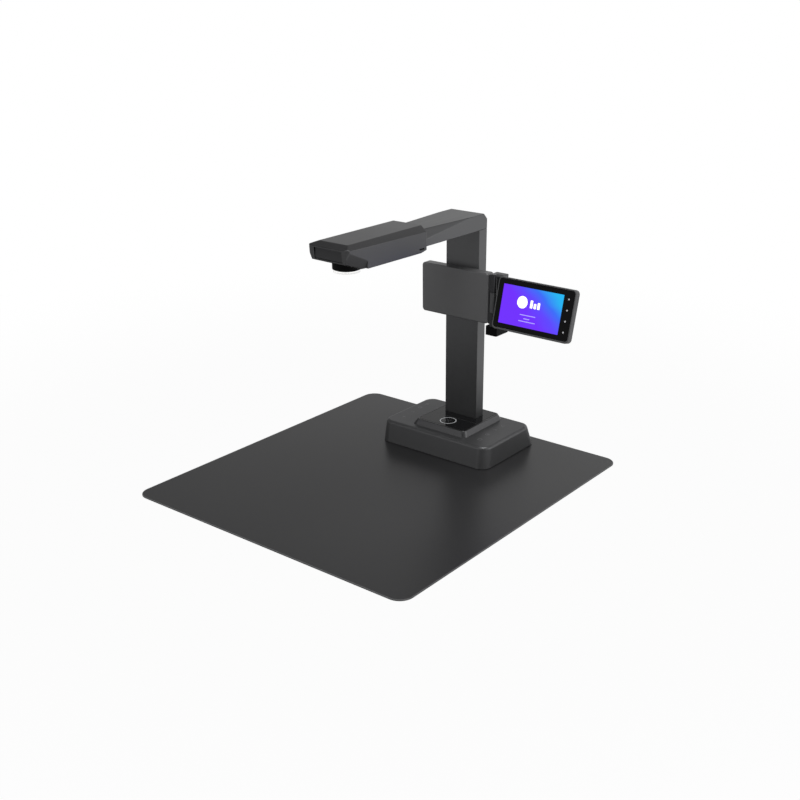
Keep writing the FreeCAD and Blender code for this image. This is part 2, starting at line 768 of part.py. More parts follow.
cover_half = arm_half - arm_wall - fit_gap
arm_cover_blank = block("arm_cover_blank", across(cover_half),
                        (arm_front + 1, column_back - arm_wall - fit_gap),
                        (arm_bottom, arm_bottom + arm_wall))
plug_hole = block("plug_hole", (plug_limits[0][0] - fit_gap, plug_limits[0][1] + fit_gap),
                  (plug_limits[1][0] - fit_gap, plug_limits[1][1] + fit_gap),
                  (arm_bottom - 1, arm_bottom + 5))
beam_bottom = arm_bottom + arm_wall
beam_top = beam_bottom + beam_height
cover_screw_places = [(unit_x, y, arm_bottom - screw_sink) for y in (arm_front + 14,
    facet_start + 30, column_front - 24)]
cover_holes = holes("cover_hole", "Z", pilot, [(x, y, arm_bottom - 1) for x, y,
                                               z in cover_screw_places], 5)
cover_sinks = holes("cover_sink", "Z", screw_head_radius + 0.1,
                    [(x, y, arm_bottom - 1) for x, y, z in cover_screw_places], 1 + screw_sink)
keep(cut("arm_cover", arm_cover_blank, [plug_hole] + cover_holes + cover_sinks), "arm_cover")
screws("arm_screws", "Z", True, cover_screw_places, arm_screw_length)

beam = block("beam", across(beam_width / 2), (beam_nose, column_back - 6), (beam_bottom, beam_top))
beam_plug = block("beam_plug", *plug_limits, (arm_bottom - plug_length, beam_bottom + 1))
beam_pilots = holes("beam_pilot", "Z", pilot, [(x, y, beam_bottom - 1) for x, y,
                                               z in cover_screw_places],
                    arm_screw_length)
beam_screw_y = beam_nose + 10
beam_screws = [(x, beam_screw_y) for x in across(beam_width / 2 - 6)]
beam_holes = holes("beam_hole", "Z", pilot, [(x, y, beam_bottom - 1) for x, y in beam_screws],
                   beam_height + 2)
keep(cut("arm_beam", fuse("beam_blank", [beam, beam_plug]), beam_pilots + beam_holes), "arm_beam")

# ---------------------------------------------------------------- camera head

step_y = cheek_front - cheek_step
undercut_y = head_back - head_back_rake - head_back_undercut
front_shoulder = head_top - head_front_drop
head_front_half = head_half - head_taper


def head_form(name, inset, drop):
    """The head's outer form, or with an inset its hollow, which runs down past the underside."""
    if drop:
        underside = [(head_front + nose_rake + inset, head_bottom - drop),
                     (head_back - head_back_rake - inset, head_bottom - drop)]
    else:
        underside = [(head_front + nose_rake, nose_bottom), (step_y, head_bottom),
                     (undercut_y, head_bottom), (head_back - head_back_rake,
                                                 head_bottom + head_back_lip)]
    side = prism(name + "_side", "YZ",
                 [(head_back - inset, head_top - inset),
                  (head_front + head_front_chamfer + inset, head_top - inset),
                  (head_front + inset, front_shoulder - inset / 2)] + underside,
                 *across(head_half + 1))
    left, right = across(head_half - inset)
    nose_left, nose_right = across(nose_width / 2 - inset)
    front_left, front_right = across(head_front_half - inset)
    back_left, back_right = across(head_top_width / 2)
    plan = prism(name + "_plan", "XY",
                 [(back_left, head_back - inset), (left, head_back - head_back_inset - inset),
                  (front_left, head_front + nose_corner), (nose_left, head_front + inset),
                  (nose_right, head_front + inset), (front_right, head_front + nose_corner),
                  (right, head_back - head_back_inset - inset), (back_right, head_back - inset)],
                 head_bottom - drop - 1, head_top + 1)
    top_left, top_right = across(head_top_width / 2 - inset / 2)
    shoulder = head_shoulder - inset / 2
    section = prism(name + "_section", "XZ",
                    [(left, head_bottom - drop - 1), (right, head_bottom - drop - 1),
                     (right, shoulder),
                     (top_right, head_top - inset), (top_left, head_top - inset), (left, shoulder)],
                    head_front - 1, head_back + 1)
    form = common(name + "_form", [side, plan, section])
    return cut(name, form, cheek_cutters(name, inset))


def cheek_cutters(name, inset):
    """Slanted cuts under both sides of the nose, ending at the cheeks."""
    zone = block(name + "_nose_zone", across(head_half + 5), (head_front - 5, cheek_front + inset),
                 (head_bottom - 20, head_top + 5))
    high = head_shoulder - 1.5
    low = head_bottom + cheek_rake_height
    front = head_front + nose_corner
    back_reach = head_taper * 0.2
    left_side, right_side = across(head_front_half)
    left_low, right_low = across(nose_bottom_width / 2)
    right = facet(name + "_right_facet",
                  [(right_side, front, high), (right_low, front - 3, nose_bottom),
                   (right_side + back_reach, cheek_front, low)], inset)
    left = facet(name + "_left_facet",
                 [(left_side, front, high), (left_side - back_reach, cheek_front, low),
                  (left_low, front - 3, nose_bottom)], inset)
    return [common(name + "_right_cut", [right, zone]), common(name + "_left_cut", [left, zone])]


head_outer = head_form("head_outer", 0, 0)
head_hollow = head_form("head_hollow", head_wall, 10)
head_skin = cut("head_skin", head_outer, [head_hollow])

ceiling = head_top - head_wall + 0.5
beam_posts = holes("beam_post", "Z", post_radius_head, [(x, y, beam_top) for x, y in beam_screws],
                   ceiling - beam_top)
carrier_top = carrier_z + plate_thickness
carrier_posts_at = grid(across(carrier_half - 3.5), (lens_y - carrier_half + 3.5,
                                                     lens_y + carrier_half - 3.5))
carrier_posts = holes("carrier_post", "Z", post_radius_head,
                      [(x, y, carrier_top) for x, y in carrier_posts_at],
                      ceiling - carrier_top)
head_solid = fuse("head_solid", [head_skin] + beam_posts + carrier_posts)
arm_mouth = block("arm_mouth", across(arm_half + fit_gap), (undercut_y - 4, head_back + 1),
                  (arm_bottom - fit_gap, arm_top + fit_gap))
window_half = window_width / 2
window_bottom = nose_bottom + 1.8
window_top = window_bottom + window_height
window_face = head_front + nose_rake + window_recess
window_hole = block("window_hole", across(window_half), (head_front - 1,
                                                         head_front + nose_rake + head_wall + 2),
                    (window_bottom, window_top))
slot_y = undercut_y - 4
slot_z = arm_bottom + 0.5
slot_x = unit_x + head_half
slot_hole = block("slot_hole", (slot_x - head_wall - 2, slot_x + 1), (slot_y, slot_y + slot_length),
                  (slot_z, slot_z + slot_height))
post_pilots = holes("post_pilot", "Z", pilot, [(x, y, beam_top - 1) for x, y in beam_screws],
                    head_bottom + head_screw_length - beam_top + 2)
carrier_pilots = holes("carrier_pilot", "Z", pilot, [(x, y, carrier_top - 1) for x,
                                                     y in carrier_posts_at],
                       carrier_screw_length)
keep(cut("head_shell", head_solid, [arm_mouth, window_hole,
                                    slot_hole] + post_pilots + carrier_pilots), "head_shell")

keep(block("front_window", across(window_half - 0.1), (window_face, window_face + 1.5),
           (window_bottom + 0.1, window_top - 0.1)), "front_window")
keep(block("side_slot_insert", (slot_x - head_wall - 1.5, slot_x - 0.6),
           (slot_y + 0.1, slot_y + slot_length - 0.1),
           (slot_z + 0.1, slot_z + slot_height - 0.1)), "side_slot_insert")

# The underside cover follows the raised nose.
cover_form = head_form("head_cover_form", head_wall + fit_gap, 10)
cover_slab = prism("head_cover_slab", "YZ",
                   [(head_back, head_bottom), (head_back, head_bottom + plate_thickness),
                    (step_y, head_bottom + plate_thickness),
                    (head_front + nose_rake, nose_bottom + plate_thickness),
                    (head_front + nose_rake, nose_bottom), (step_y, head_bottom)],
                   *across(head_half))
cover_plate = common("head_cover_plate", [cover_form, cover_slab])
cover_back_cut = block("cover_back_cut", across(head_half), (undercut_y - head_wall, head_back + 1),
                       (head_bottom - 1, head_bottom + 5))
spacers = holes("cover_spacer", "Z", post_radius_head,
                [(x, y, head_bottom + 1) for x, y in beam_screws], beam_bottom - head_bottom - 1)
hood_hole = rod("hood_hole", "Z", hood_radius + fit_gap, (unit_x, lens_y, head_bottom - 1), 20)
head_cover_pilots = holes("head_cover_pilot", "Z", pilot,
                          [(x, y, head_bottom - 1) for x, y in beam_screws], 10)
head_cover_sinks = holes("head_cover_sink", "Z", screw_head_radius + 0.1,
                         [(x, y, head_bottom - 1) for x, y in beam_screws], 1 + screw_sink)
keep(cut("head_cover", fuse("head_cover_blank", [cover_plate] + spacers),
         [cover_back_cut, hood_hole] + head_cover_pilots + head_cover_sinks), "head_cover")
screws("head_screws", "Z", True, [(x, y, head_bottom - screw_sink) for x, y in beam_screws],
       head_screw_length)

# ---------------------------------------------------------------- lens and lamp

hood_tube = rod("hood_tube", "Z", hood_radius, (unit_x, lens_y, hood_bottom),
                carrier_z - hood_bottom)
hood_bore = rod("hood_bore", "Z", hood_radius - hood_wall, (unit_x, lens_y, hood_bottom - 1),
                carrier_z - hood_bottom + 2)
keep(cut("lens_hood", hood_tube, [hood_bore]), "lens_hood")

disc_bottom = hood_bottom - diffuser_drop
neck_radius = hood_radius - hood_wall - fit_gap
neck_top = hood_bottom + diffuser_drop
lamp_bore = barrel_radius + 0.5
diffuser_plate = rod("diffuser_plate", "Z", hood_radius - 1, (unit_x, lens_y, disc_bottom),
                     diffuser_disc)
diffuser_neck = rod("diffuser_neck", "Z", neck_radius, (unit_x, lens_y, disc_bottom + 1),
                    neck_top - disc_bottom - 1)
diffuser_cup = rod("diffuser_cup", "Z", neck_radius - 1.5,
                   (unit_x, lens_y, disc_bottom + diffuser_disc), 20)
diffuser_bore = rod("diffuser_bore", "Z", lamp_bore, (unit_x, lens_y, disc_bottom - 1), 20)
keep(cut("lamp_diffuser", fuse("diffuser_blank", [diffuser_plate, diffuser_neck]),
         [diffuser_cup, diffuser_bore]),
     "lamp_diffuser")

led_ring = rod("led_ring", "Z", neck_radius, (unit_x, lens_y, neck_top), board_thickness)
led_bore = rod("led_bore", "Z", lamp_bore, (unit_x, lens_y, neck_top - 5), 20)
led_circle = (neck_radius + lamp_bore) / 2 - 0.5
led_count = 8
led = []
for i in range(led_count):
    turn = FreeCAD.Rotation(FreeCAD.Vector(0, 0, 1), 360 * i / led_count)
    spoke = turn.multVec(FreeCAD.Vector(1, 0, 0))
    led.append(rod("led_" + str(i), "Z", 1.4, (unit_x + led_circle * spoke.x,
                                               lens_y + led_circle * spoke.y,
                                               neck_top - 1.2), 1.2 + 0.2))
keep(cut("lamp_board", fuse("lamp_blank", [led_ring] + led), [led_bore]), "lamp_board")

barrel_bottom = disc_bottom - 0.5
camera_board_z = carrier_z - 6
barrel = rod("barrel", "Z", barrel_radius, (unit_x, lens_y, barrel_bottom),
             camera_board_z - barrel_bottom)
glass_radius = barrel_radius - barrel_wall
barrel_mouth = rod("barrel_mouth", "Z", glass_radius, (unit_x, lens_y, barrel_bottom - 1), 4.5)
keep(cut("lens_barrel", barrel, [barrel_mouth]), "lens_barrel")
keep(rod("lens_glass", "Z", glass_radius - 0.05, (unit_x, lens_y, barrel_bottom + 1.5), 2),
     "lens_glass")
keep(block("camera_board", across(camera_board_half), (lens_y - camera_board_half,
                                                       lens_y + camera_board_half),
           (camera_board_z, camera_board_z + board_thickness)), "camera_board")
standoff_places = [(x, y, camera_board_z + board_thickness) for x, y in grid(
    across(camera_board_half - 2.5), (lens_y - camera_board_half + 2.5,
                                      lens_y + camera_board_half - 2.5))]
keep(fuse("camera_standoffs", holes("standoff", "Z", 2, standoff_places,
                                    carrier_z - camera_board_z - board_thickness)),
     "camera_standoffs")
carrier_plate = block("carrier_plate_blank", across(carrier_half),
                      (lens_y - carrier_half, lens_y + carrier_half),
                      (carrier_z, carrier_top))
carrier_holes = holes("carrier_hole", "Z", pilot, [(x, y, carrier_z - 1) for x,
                                                   y in carrier_posts_at], 5)
keep(cut("camera_carrier", carrier_plate, carrier_holes), "camera_carrier")
screws("carrier_screws", "Z", True, [(x, y, carrier_z - screw_head_height) for x,
                                     y in carrier_posts_at],
       carrier_screw_length)

# ---------------------------------------------------------------- display bracket and hinge

bracket_x = (unit_x - bracket_left, unit_x + bracket_right)
bracket_outer = rounded_block("bracket_outer", "XZ", bracket_x, bracket_z, bracket_front,
                              column_front,
                              bracket_corner)
bracket_hollow = rounded_block("bracket_hollow", "XZ", inset(bracket_x, bracket_wall),
                               inset(bracket_z, bracket_wall),
                               bracket_front + bracket_wall, column_front + 1,
                               bracket_corner - bracket_wall)
keep(cut("bracket_cover", bracket_outer, [bracket_hollow]), "bracket_cover")

bracket_plate_y = column_front - plate_thickness
bracket_blank = rounded_block("bracket_blank", "XZ", inset(bracket_x, bracket_wall + fit_gap),
                              inset(bracket_z, bracket_wall + fit_gap), bracket_plate_y,
                              column_front,
                              bracket_corner - bracket_wall)
bracket_holes = holes("bracket_hole", "Y", pilot, [(x, bracket_plate_y - 1, z) for x,
                                                   z in bracket_screws_at], 5)
driver_x = (unit_x - bracket_left + 8, unit_x - 20)
driver_z = inset(bracket_z, driver_inset)
driver_posts = holes("driver_post", "Y", 2, [(x, bracket_plate_y - driver_gap, z) for x, z in grid(
    inset(driver_x, 4), inset(driver_z, 4))], driver_gap + 0.5)
keep(cut("bracket_plate", fuse("bracket_plate_solid", [bracket_blank] + driver_posts),
         bracket_holes), "bracket_plate")
keep(block("driver_board", driver_x, (bracket_plate_y - driver_gap - board_thickness,
                                      bracket_plate_y - driver_gap),
           driver_z), "driver_board")
screws("bracket_screws", "Y", True, [(x, bracket_plate_y - screw_head_height, z) for x,
                                     z in bracket_screws_at],
       plate_thickness + column_wall)

leaf_left = unit_x + bracket_right
leaf_right = leaf_left + leaf_thickness
leaf_low = bracket_bottom - 2
knuckle_low_top = leaf_low + knuckle_bottom_length
knuckle_high_bottom = bracket_top - knuckle_top_length
leaf_plate = block("leaf_plate", (leaf_left, leaf_right), (bracket_front + 1, column_front - 1),
                   (bracket_bottom + 1, bracket_top - 1))


def knuckle(name, low, high):
    return rod(name, "Z", knuckle_radius, (hinge_x, hinge_y, low), high - low)


def bridge(name, low, high):
    """Joins a fixed knuckle to the leaf."""
    return block(name, (leaf_right - 0.5, hinge_x), (hinge_y - knuckle_radius / 2,
                                                     hinge_y + knuckle_radius / 2),
                 (low, high))


leaf_parts = [leaf_plate, knuckle("knuckle_low", leaf_low, knuckle_low_top),
              knuckle("knuckle_high", knuckle_high_bottom, bracket_top),
              bridge("bridge_low", bracket_bottom + 1, knuckle_low_top),
              bridge("bridge_high", knuckle_high_bottom, bracket_top - 1)]
pin_hole = rod("pin_hole", "Z", pin_radius + 0.02, (hinge_x, hinge_y, leaf_low - 1),
               bracket_height + 5)
keep(cut("hinge_leaf", fuse("leaf_solid", leaf_parts), [pin_hole]), "hinge_leaf")
pin_shank = rod("pin_shank", "Z", pin_radius, (hinge_x, hinge_y, leaf_low), bracket_top - leaf_low)
pin_head = rod("pin_head", "Z", pin_radius + 1.2, (hinge_x, hinge_y, bracket_top), 1)
keep(fuse("hinge_pin", [pin_shank, pin_head]), "hinge_pin")

# ---------------------------------------------------------------- swing block

swing_low = knuckle_low_top + knuckle_gap
swing_high = knuckle_high_bottom - knuckle_gap
block_back = block_front + block_depth
swing_knuckle = knuckle("swing_knuckle", swing_low, swing_high)
swing_web = block("swing_web", (hinge_x - knuckle_radius / 2, hinge_x + knuckle_radius / 2),
                  (hinge_y, block_front + 1),
                  (swing_low, swing_high))
swing_shell_outer = prism("swing_shell_outer", "YZ",
                          [(block_front, block_bottom), (block_back, block_bottom),
                           (block_back, block_top),
                           (block_front + block_chamfer, block_top),
                           (block_front, block_top - block_chamfer)], block_left, block_right)
swing_hollow = prism("swing_hollow", "YZ",
                     [(block_front + block_wall, block_bottom + block_wall),
                      (block_back + 1, block_bottom + block_wall),
                      (block_back + 1, block_top - block_wall),
                      (block_front + block_chamfer + block_wall / 2, block_top - block_wall),
                      (block_front + block_wall, block_top - block_chamfer - block_wall / 2)],
                     block_left + block_wall, block_right - block_wall)
swing_bosses = holes("swing_boss", "Y", 3, [(block_left + block_width / 2, block_front + 1.5, z)
                                           for z in (block_bottom + 9, tilt_z + 20)],
                     block_depth - 1.5 - plate_thickness)
swing_bore = rod("swing_bore", "Z", pin_radius + running_gap, (hinge_x, hinge_y, swing_low - 1),
                 swing_high - swing_low + 2)
shaft_hole = rod("shaft_hole", "X", shaft_radius + 0.05,
                 (block_right - block_wall - 1, tilt_y, tilt_z), 6)
swing_screw_z = (block_bottom + 9, tilt_z + 20)
swing_pilots = holes("swing_pilot", "Y", pilot, [(block_left + block_width / 2, block_back - 8, z)
                                                for z in swing_screw_z], 10)
swing_hollowed = cut("swing_hollowed", swing_shell_outer, [swing_hollow])
keep(cut("swing_block", fuse("swing_solid", [swing_hollowed, swing_knuckle,
                                             swing_web] + swing_bosses),
         [swing_bore, shaft_hole] + swing_pilots), "swing_block")

swing_cover_blank = block("swing_cover_blank", inset((block_left, block_right),
                                                     block_wall + fit_gap),
                          (block_back - plate_thickness, block_back),
                          inset((block_bottom, block_top), block_wall + fit_gap))
swing_cover_holes = holes("swing_cover_hole", "Y", pilot,
                          [(block_left + block_width / 2, block_back - plate_thickness - 1,
                            z) for z in swing_screw_z],
                          plate_thickness + 2)
swing_cover_sinks = holes("swing_cover_sink", "Y", screw_head_radius + 0.1,
                          [(block_left + block_width / 2, block_back - screw_sink,
                            z) for z in swing_screw_z], 3)
keep(cut("swing_cover", swing_cover_blank, swing_cover_holes + swing_cover_sinks), "swing_cover")
screws("swing_screws", "Y", False, [(block_left + block_width / 2, block_back - screw_sink,
                                     z) for z in swing_screw_z],
       6)

ear_left = display_left
ear_right = ear_left + ear_thickness
shaft_start = block_left + block_wall
shaft_end = ear_right + 1
tilt_rod = rod("tilt_rod", "X", shaft_radius, (shaft_start, tilt_y, tilt_z),
               shaft_end - shaft_start)
tilt_cap = rod("tilt_cap", "X", shaft_radius + 1.5, (shaft_end, tilt_y, tilt_z), 1.5)
keep(fuse("tilt_shaft", [tilt_rod, tilt_cap]), "tilt_shaft")
clamp_blank = block("clamp_blank", (shaft_start + 2, block_right - block_wall - 1),
                    (block_front + block_wall, block_back - plate_thickness),
                    (tilt_z - clamp_half, tilt_z + clamp_half))
clamp_bore = rod("clamp_bore", "X", shaft_radius + 0.02, (shaft_start, tilt_y, tilt_z), block_width)
keep(cut("friction_clamp", clamp_blank, [clamp_bore]), "friction_clamp")

# ---------------------------------------------------------------- display

# The display's pieces are drawn upright about the tilt axis, then leaned back together.
back_face = -display_setback
front_face = back_face - display_depth
seat_face = front_face + glass_thickness
bezel_back = front_face + 2.2
display_x = (display_left, display_left + display_width)
display_z = (-display_height / 2, display_height / 2)
glass_left = display_left + (display_width - glass_width) / 2
glass_x = (glass_left, glass_left + glass_width)
glass_z = (display_height / 2 - 2 - glass_height, display_height / 2 - 2)
screen_left = glass_left + screen_inset
screen_mid = (glass_z[0] + glass_z[1]) / 2
panel_x = (screen_left - 3, screen_left + screen_width + 3)
panel_z = (screen_mid - screen_height / 2 - 3, screen_mid + screen_height / 2 + 3)


def lean(thing, label):
    """Sets a display piece at the tilt axis, leaning back by the rest angle."""
    bind(thing, "Placement.Base.y", tilt_y)
    bind(thing, "Placement.Base.z", tilt_z)
    thing.Placement.Rotation = FreeCAD.Rotation(FreeCAD.Vector(-1, 0, 0), tilt_rest.value)
    bind(thing, "Placement.Rotation.Angle", tilt_rest)
    return keep(thing, label)


housing_outer = rounded_block("housing_outer", "XZ", display_x, display_z, bezel_back, back_face,
                              display_corner)
round_edges(housing_outer, housing_edge, lambda edge: edge.BoundBox.YMin > back_face.value - 0.01)
housing_hollow = rounded_block("housing_hollow", "XZ", inset(display_x, display_wall),
                               inset(display_z, display_wall),
                               bezel_back - 1, back_face - display_wall,
                               display_corner - display_wall)
mount_x = (ear_left, ear_left + 30)
mount_z = (as_size(-14), as_size(14))
mount_screws_at = grid((mount_x[0] + 14, mount_x[1] - 4), inset(mount_z, 5))
housing_bosses = holes("housing_boss", "Y", 2.6, [(x, back_face - 5.5, z) for x,
                                                  z in mount_screws_at], 4.5)
housing_pilots = holes("housing_pilot", "Y", pilot, [(x, back_face - 5, z) for x,
                                                     z in mount_screws_at], 8)
housing_hollowed = cut("housing_hollowed", housing_outer, [housing_hollow])
lean(cut("display_housing", fuse("housing_solid", [housing_hollowed] + housing_bosses),
         housing_pilots),
     "display_housing")

bezel_blank = rounded_block("bezel_blank", "XZ", display_x, display_z, front_face, bezel_back,
                            display_corner)
glass_seat = rounded_block("glass_seat", "XZ", inset(glass_x, -0.1), inset(glass_z, -0.1),
                           front_face - 1,
                           seat_face, display_corner - 2)
panel_opening = block("panel_opening", inset(panel_x, -0.3), (front_face - 1, bezel_back + 1),
                      inset(panel_z, -0.3))
lean(cut("display_bezel", bezel_blank, [glass_seat, panel_opening]), "display_bezel")
lean(rounded_block("cover_glass", "XZ", glass_x, glass_z, front_face, seat_face,
                   display_corner - 2), "display_glass")
lean(prism("lcd_body", "XZ", rectangle(panel_x, panel_z), seat_face, seat_face + 3.2), "lcd_panel")
display_board_y = seat_face + 3.2
lean(prism("display_board_body", "XZ", rectangle(inset(panel_x, 12), inset(panel_z, 10)),
           display_board_y,
           display_board_y + 1.2), "display_board")

arm_plate = block("mount_plate", mount_x, (back_face, back_face + 2), mount_z)
ear_web = block("ear_web", (ear_left, ear_right), (back_face, 0), (-ear_radius, ear_radius))
ear_round = rod("ear_round", "X", ear_radius, (ear_left, 0, 0), ear_thickness)
ear_bore = rod("ear_bore", "X", shaft_radius + running_gap, (ear_left - 1, 0, 0), ear_thickness + 2)
mount_holes = holes("mount_hole", "Y", pilot, [(x, back_face - 1, z) for x, z in mount_screws_at],
                    5)
lean(cut("display_mount", fuse("mount_solid", [arm_plate, ear_web, ear_round]),
         [ear_bore] + mount_holes),
     "display_mount")
mount_screws = screws("mount_screws", "Y", False, [(x, back_face + 2, z) for x,
                                                   z in mount_screws_at],
                      mount_screw_length)
nodes.pop()
lean(mount_screws, "mount_screws")

# ---------------------------------------------------------------- checks and files

doc.recompute()
for thing in doc.Objects:
    if "Invalid" in thing.State or "Error" in thing.State:
        raise RuntimeError("failed object: " + thing.Name)
for node in nodes:
    if node.Shape.isNull() or not node.Shape.isValid() or not node.Shape.Solids:
        raise RuntimeError("bad shape: " + node.Label)

os.makedirs("parts", exist_ok=True)
for node in nodes:
    node.Shape.exportStep("parts/" + node.Label + ".step")
    bounds = node.Shape.BoundBox
    print(node.Label, len(node.Shape.Solids), "solids", round(node.Shape.Volume / 1000, 2), "cm3",
          [round(edge, 1) for edge in (bounds.XMin, bounds.XMax, bounds.YMin, bounds.YMax,
                                       bounds.ZMin, bounds.ZMax)])
print(len(nodes), "nodes")
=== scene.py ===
import json
import math

import bmesh
import bpy
from bpy.props import FloatProperty, FloatVectorProperty, IntProperty, PointerProperty
from mathutils import Matrix, Vector

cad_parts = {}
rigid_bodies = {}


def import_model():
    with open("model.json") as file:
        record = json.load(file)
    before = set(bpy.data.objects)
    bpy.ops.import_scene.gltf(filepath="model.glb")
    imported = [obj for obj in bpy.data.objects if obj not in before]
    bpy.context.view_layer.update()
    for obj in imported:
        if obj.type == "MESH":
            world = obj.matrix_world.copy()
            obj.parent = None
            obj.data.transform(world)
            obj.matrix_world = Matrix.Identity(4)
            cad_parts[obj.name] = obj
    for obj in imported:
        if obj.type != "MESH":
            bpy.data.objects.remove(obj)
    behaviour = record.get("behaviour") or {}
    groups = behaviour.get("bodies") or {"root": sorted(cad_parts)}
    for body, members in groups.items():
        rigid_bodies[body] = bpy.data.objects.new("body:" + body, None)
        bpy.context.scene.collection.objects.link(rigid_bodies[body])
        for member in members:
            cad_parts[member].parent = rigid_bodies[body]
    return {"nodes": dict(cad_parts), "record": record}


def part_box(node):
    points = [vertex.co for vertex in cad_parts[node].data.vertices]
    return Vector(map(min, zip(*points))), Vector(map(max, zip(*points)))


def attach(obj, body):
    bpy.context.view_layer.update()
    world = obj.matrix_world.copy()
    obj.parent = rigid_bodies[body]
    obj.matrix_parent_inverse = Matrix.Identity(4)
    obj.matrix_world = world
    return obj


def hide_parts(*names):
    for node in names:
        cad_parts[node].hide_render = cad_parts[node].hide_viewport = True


bl_info = {
    "name": "Book Scanner",
    "version": (1, 0, 0),
    "blender": (4, 5, 0),
    "location": "View3D > Sidebar > Book Scanner",
    "description": "Finishes a book scanner: housings, mat, display, screws, markings and stage",
    "category": "Object",
}

for leftover in list(bpy.data.objects):
    bpy.data.objects.remove(leftover)

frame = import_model()
bpy.context.view_layer.update()
MM = 0.001
SLOT_OF = {part["node"]: part["material_slot"] for part in frame["record"]["subparts"]}
BODY_OF = {node: body for body, members in frame["record"]["behaviour"]["bodies"].items()
           for node in members}


# ---------------------------------------------------------------- shader building

class Wire:
    """A shader socket that takes part in Python arithmetic."""

    def __init__(self, graph, socket):
        self.graph = graph
        self.socket = socket

    def combine(self, operation, first, second):
        return self.graph.add("ShaderNodeMath", {"operation": operation}, {0: first, 1: second})

    def __add__(self, other):
        return self.combine("ADD", self, other)

    def __radd__(self, other):
        return self.combine("ADD", other, self)

    def __sub__(self, other):
        return self.combine("SUBTRACT", self, other)

    def __rsub__(self, other):
        return self.combine("SUBTRACT", other, self)

    def __mul__(self, other):
        return self.combine("MULTIPLY", self, other)

    def __rmul__(self, other):
        return self.combine("MULTIPLY", other, self)

    def __pow__(self, other):
        return self.combine("POWER", self, other)

    def __gt__(self, other):
        return self.combine("GREATER_THAN", self, other)

    def __lt__(self, other):
        return self.combine("LESS_THAN", self, other)

    def size(self):
        return self.graph.add("ShaderNodeMath", {"operation": "ABSOLUTE"}, {0: self})

    def at_least(self, floor):
        return self.combine("MAXIMUM", self, floor)

    def swing(self, reach):
        """A pattern from nought to one, as a change of half the reach up and down."""
        return (self - 0.5) * reach


class Graph:
    """The node tree of one material or of the world."""

    def __init__(self, tree):
        self.tree = tree
        tree.nodes.clear()

    def add(self, kind, settings=None, inputs=None, output=0):
        node = self.tree.nodes.new(kind)
        for name, value in (settings or {}).items():
            if name == "stops":
                ramp = node.color_ramp
                while len(ramp.elements) < len(value):
                    ramp.elements.new(0.5)
                for element, (place, colour) in zip(ramp.elements, value):
                    element.position = place
                    element.color = (*colour, 1)
            else:
                setattr(node, name, value)
        for name, value in (inputs or {}).items():
            self.set(node, name, value)
        return Wire(self, node.outputs[output]) if len(node.outputs) else node

    def set(self, node, name, value):
        socket = node.inputs[name]
        if isinstance(value, Wire):
            self.tree.links.new(value.socket, socket)
        elif socket.type == "RGBA" and len(value) == 3:
            socket.default_value = (*value, 1)
        else:
            socket.default_value = value

    def place(self):
        return self.add("ShaderNodeTexCoord", output="Object")

    def mapped(self, vector, scale, turn=(0, 0, 0)):
        return self.add("ShaderNodeMapping", None,
                        {"Vector": vector, "Scale": scale, "Rotation": turn})

    def noise(self, vector, scale, detail=2.0):
        return self.add("ShaderNodeTexNoise", None,
                        {"Vector": vector, "Scale": scale, "Detail": detail})

    def cells(self, vector, scale):
        return self.add("ShaderNodeTexVoronoi", None, {"Vector": vector, "Scale": scale})

    def parts(self, vector):
        node = self.tree.nodes.new("ShaderNodeSeparateXYZ")
        self.set(node, 0, vector)
        return [Wire(self, socket) for socket in node.outputs]

    def shade(self, factor, dark, light):
        """A colour between two, by a factor."""
        return self.add("ShaderNodeMix", {"data_type": "RGBA"}, {0: factor, 6: dark, 7: light},
                        output=2)

    def tinted(self, factor, colour, spread):
        """A colour from darker to lighter by a share of itself."""
        return self.shade(factor, scaled(colour, 1 - spread), scaled(colour, 1 + spread))

    def ramp(self, value, start, end, low, high):
        """A smooth change from low to high while the value runs from start to end."""
        return self.add("ShaderNodeMapRange", {"interpolation_type": "SMOOTHSTEP"},
                        {"Value": value, "From Min": start, "From Max": end,
                         "To Min": low, "To Max": high})

    def bump(self, height, strength, depth):
        return self.add("ShaderNodeBump", None,
                        {"Height": height, "Strength": strength, "Distance": depth})

    def surface(self, **inputs):
        named = {name.replace("_", " "): value for name, value in inputs.items()}
        shader = self.add("ShaderNodeBsdfPrincipled", None, named)
        self.add("ShaderNodeOutputMaterial", None, {"Surface": shader})
        return shader


def new_material(name):
    """An empty material and its graph."""
    material = bpy.data.materials.new(name)
    material.use_nodes = True
    return material, Graph(material.node_tree)


def scaled(colour, factor):
    """A darker or lighter colour."""
    return tuple(channel * factor for channel in colour)


def blend(first, second, share):
    """Two patterns together, with the first one's share."""
    return first * share + second * (1 - share)


def distance(x, y):
    """The length of a flat offset."""
    return (x * x + y * y) ** 0.5


PITS_PER_GRAIN = 0.6  # pits for each grain of a moulded surface


def moulded(name, colour, roughness, grain=0.12, metal=0.0, shine=0.3, pitch=2400):
    """Injection-moulded or painted finish with a fine spark-eroded grain."""
    material, graph = new_material(name)
    place = graph.place()
    mottle = graph.noise(place, scale=14)
    fine = graph.noise(place, scale=pitch, detail=3)
    pits = graph.cells(place, scale=pitch * PITS_PER_GRAIN)
    graph.surface(
        Base_Color=graph.tinted(mottle, colour, spread=0.07),
        Roughness=roughness + fine.swing(reach=0.14) + mottle.swing(reach=0.08),
        Metallic=metal, Specular_IOR_Level=shine,
        Normal=graph.bump(blend(fine, pits, share=0.6), strength=grain, depth=0.12 * MM))
    return material


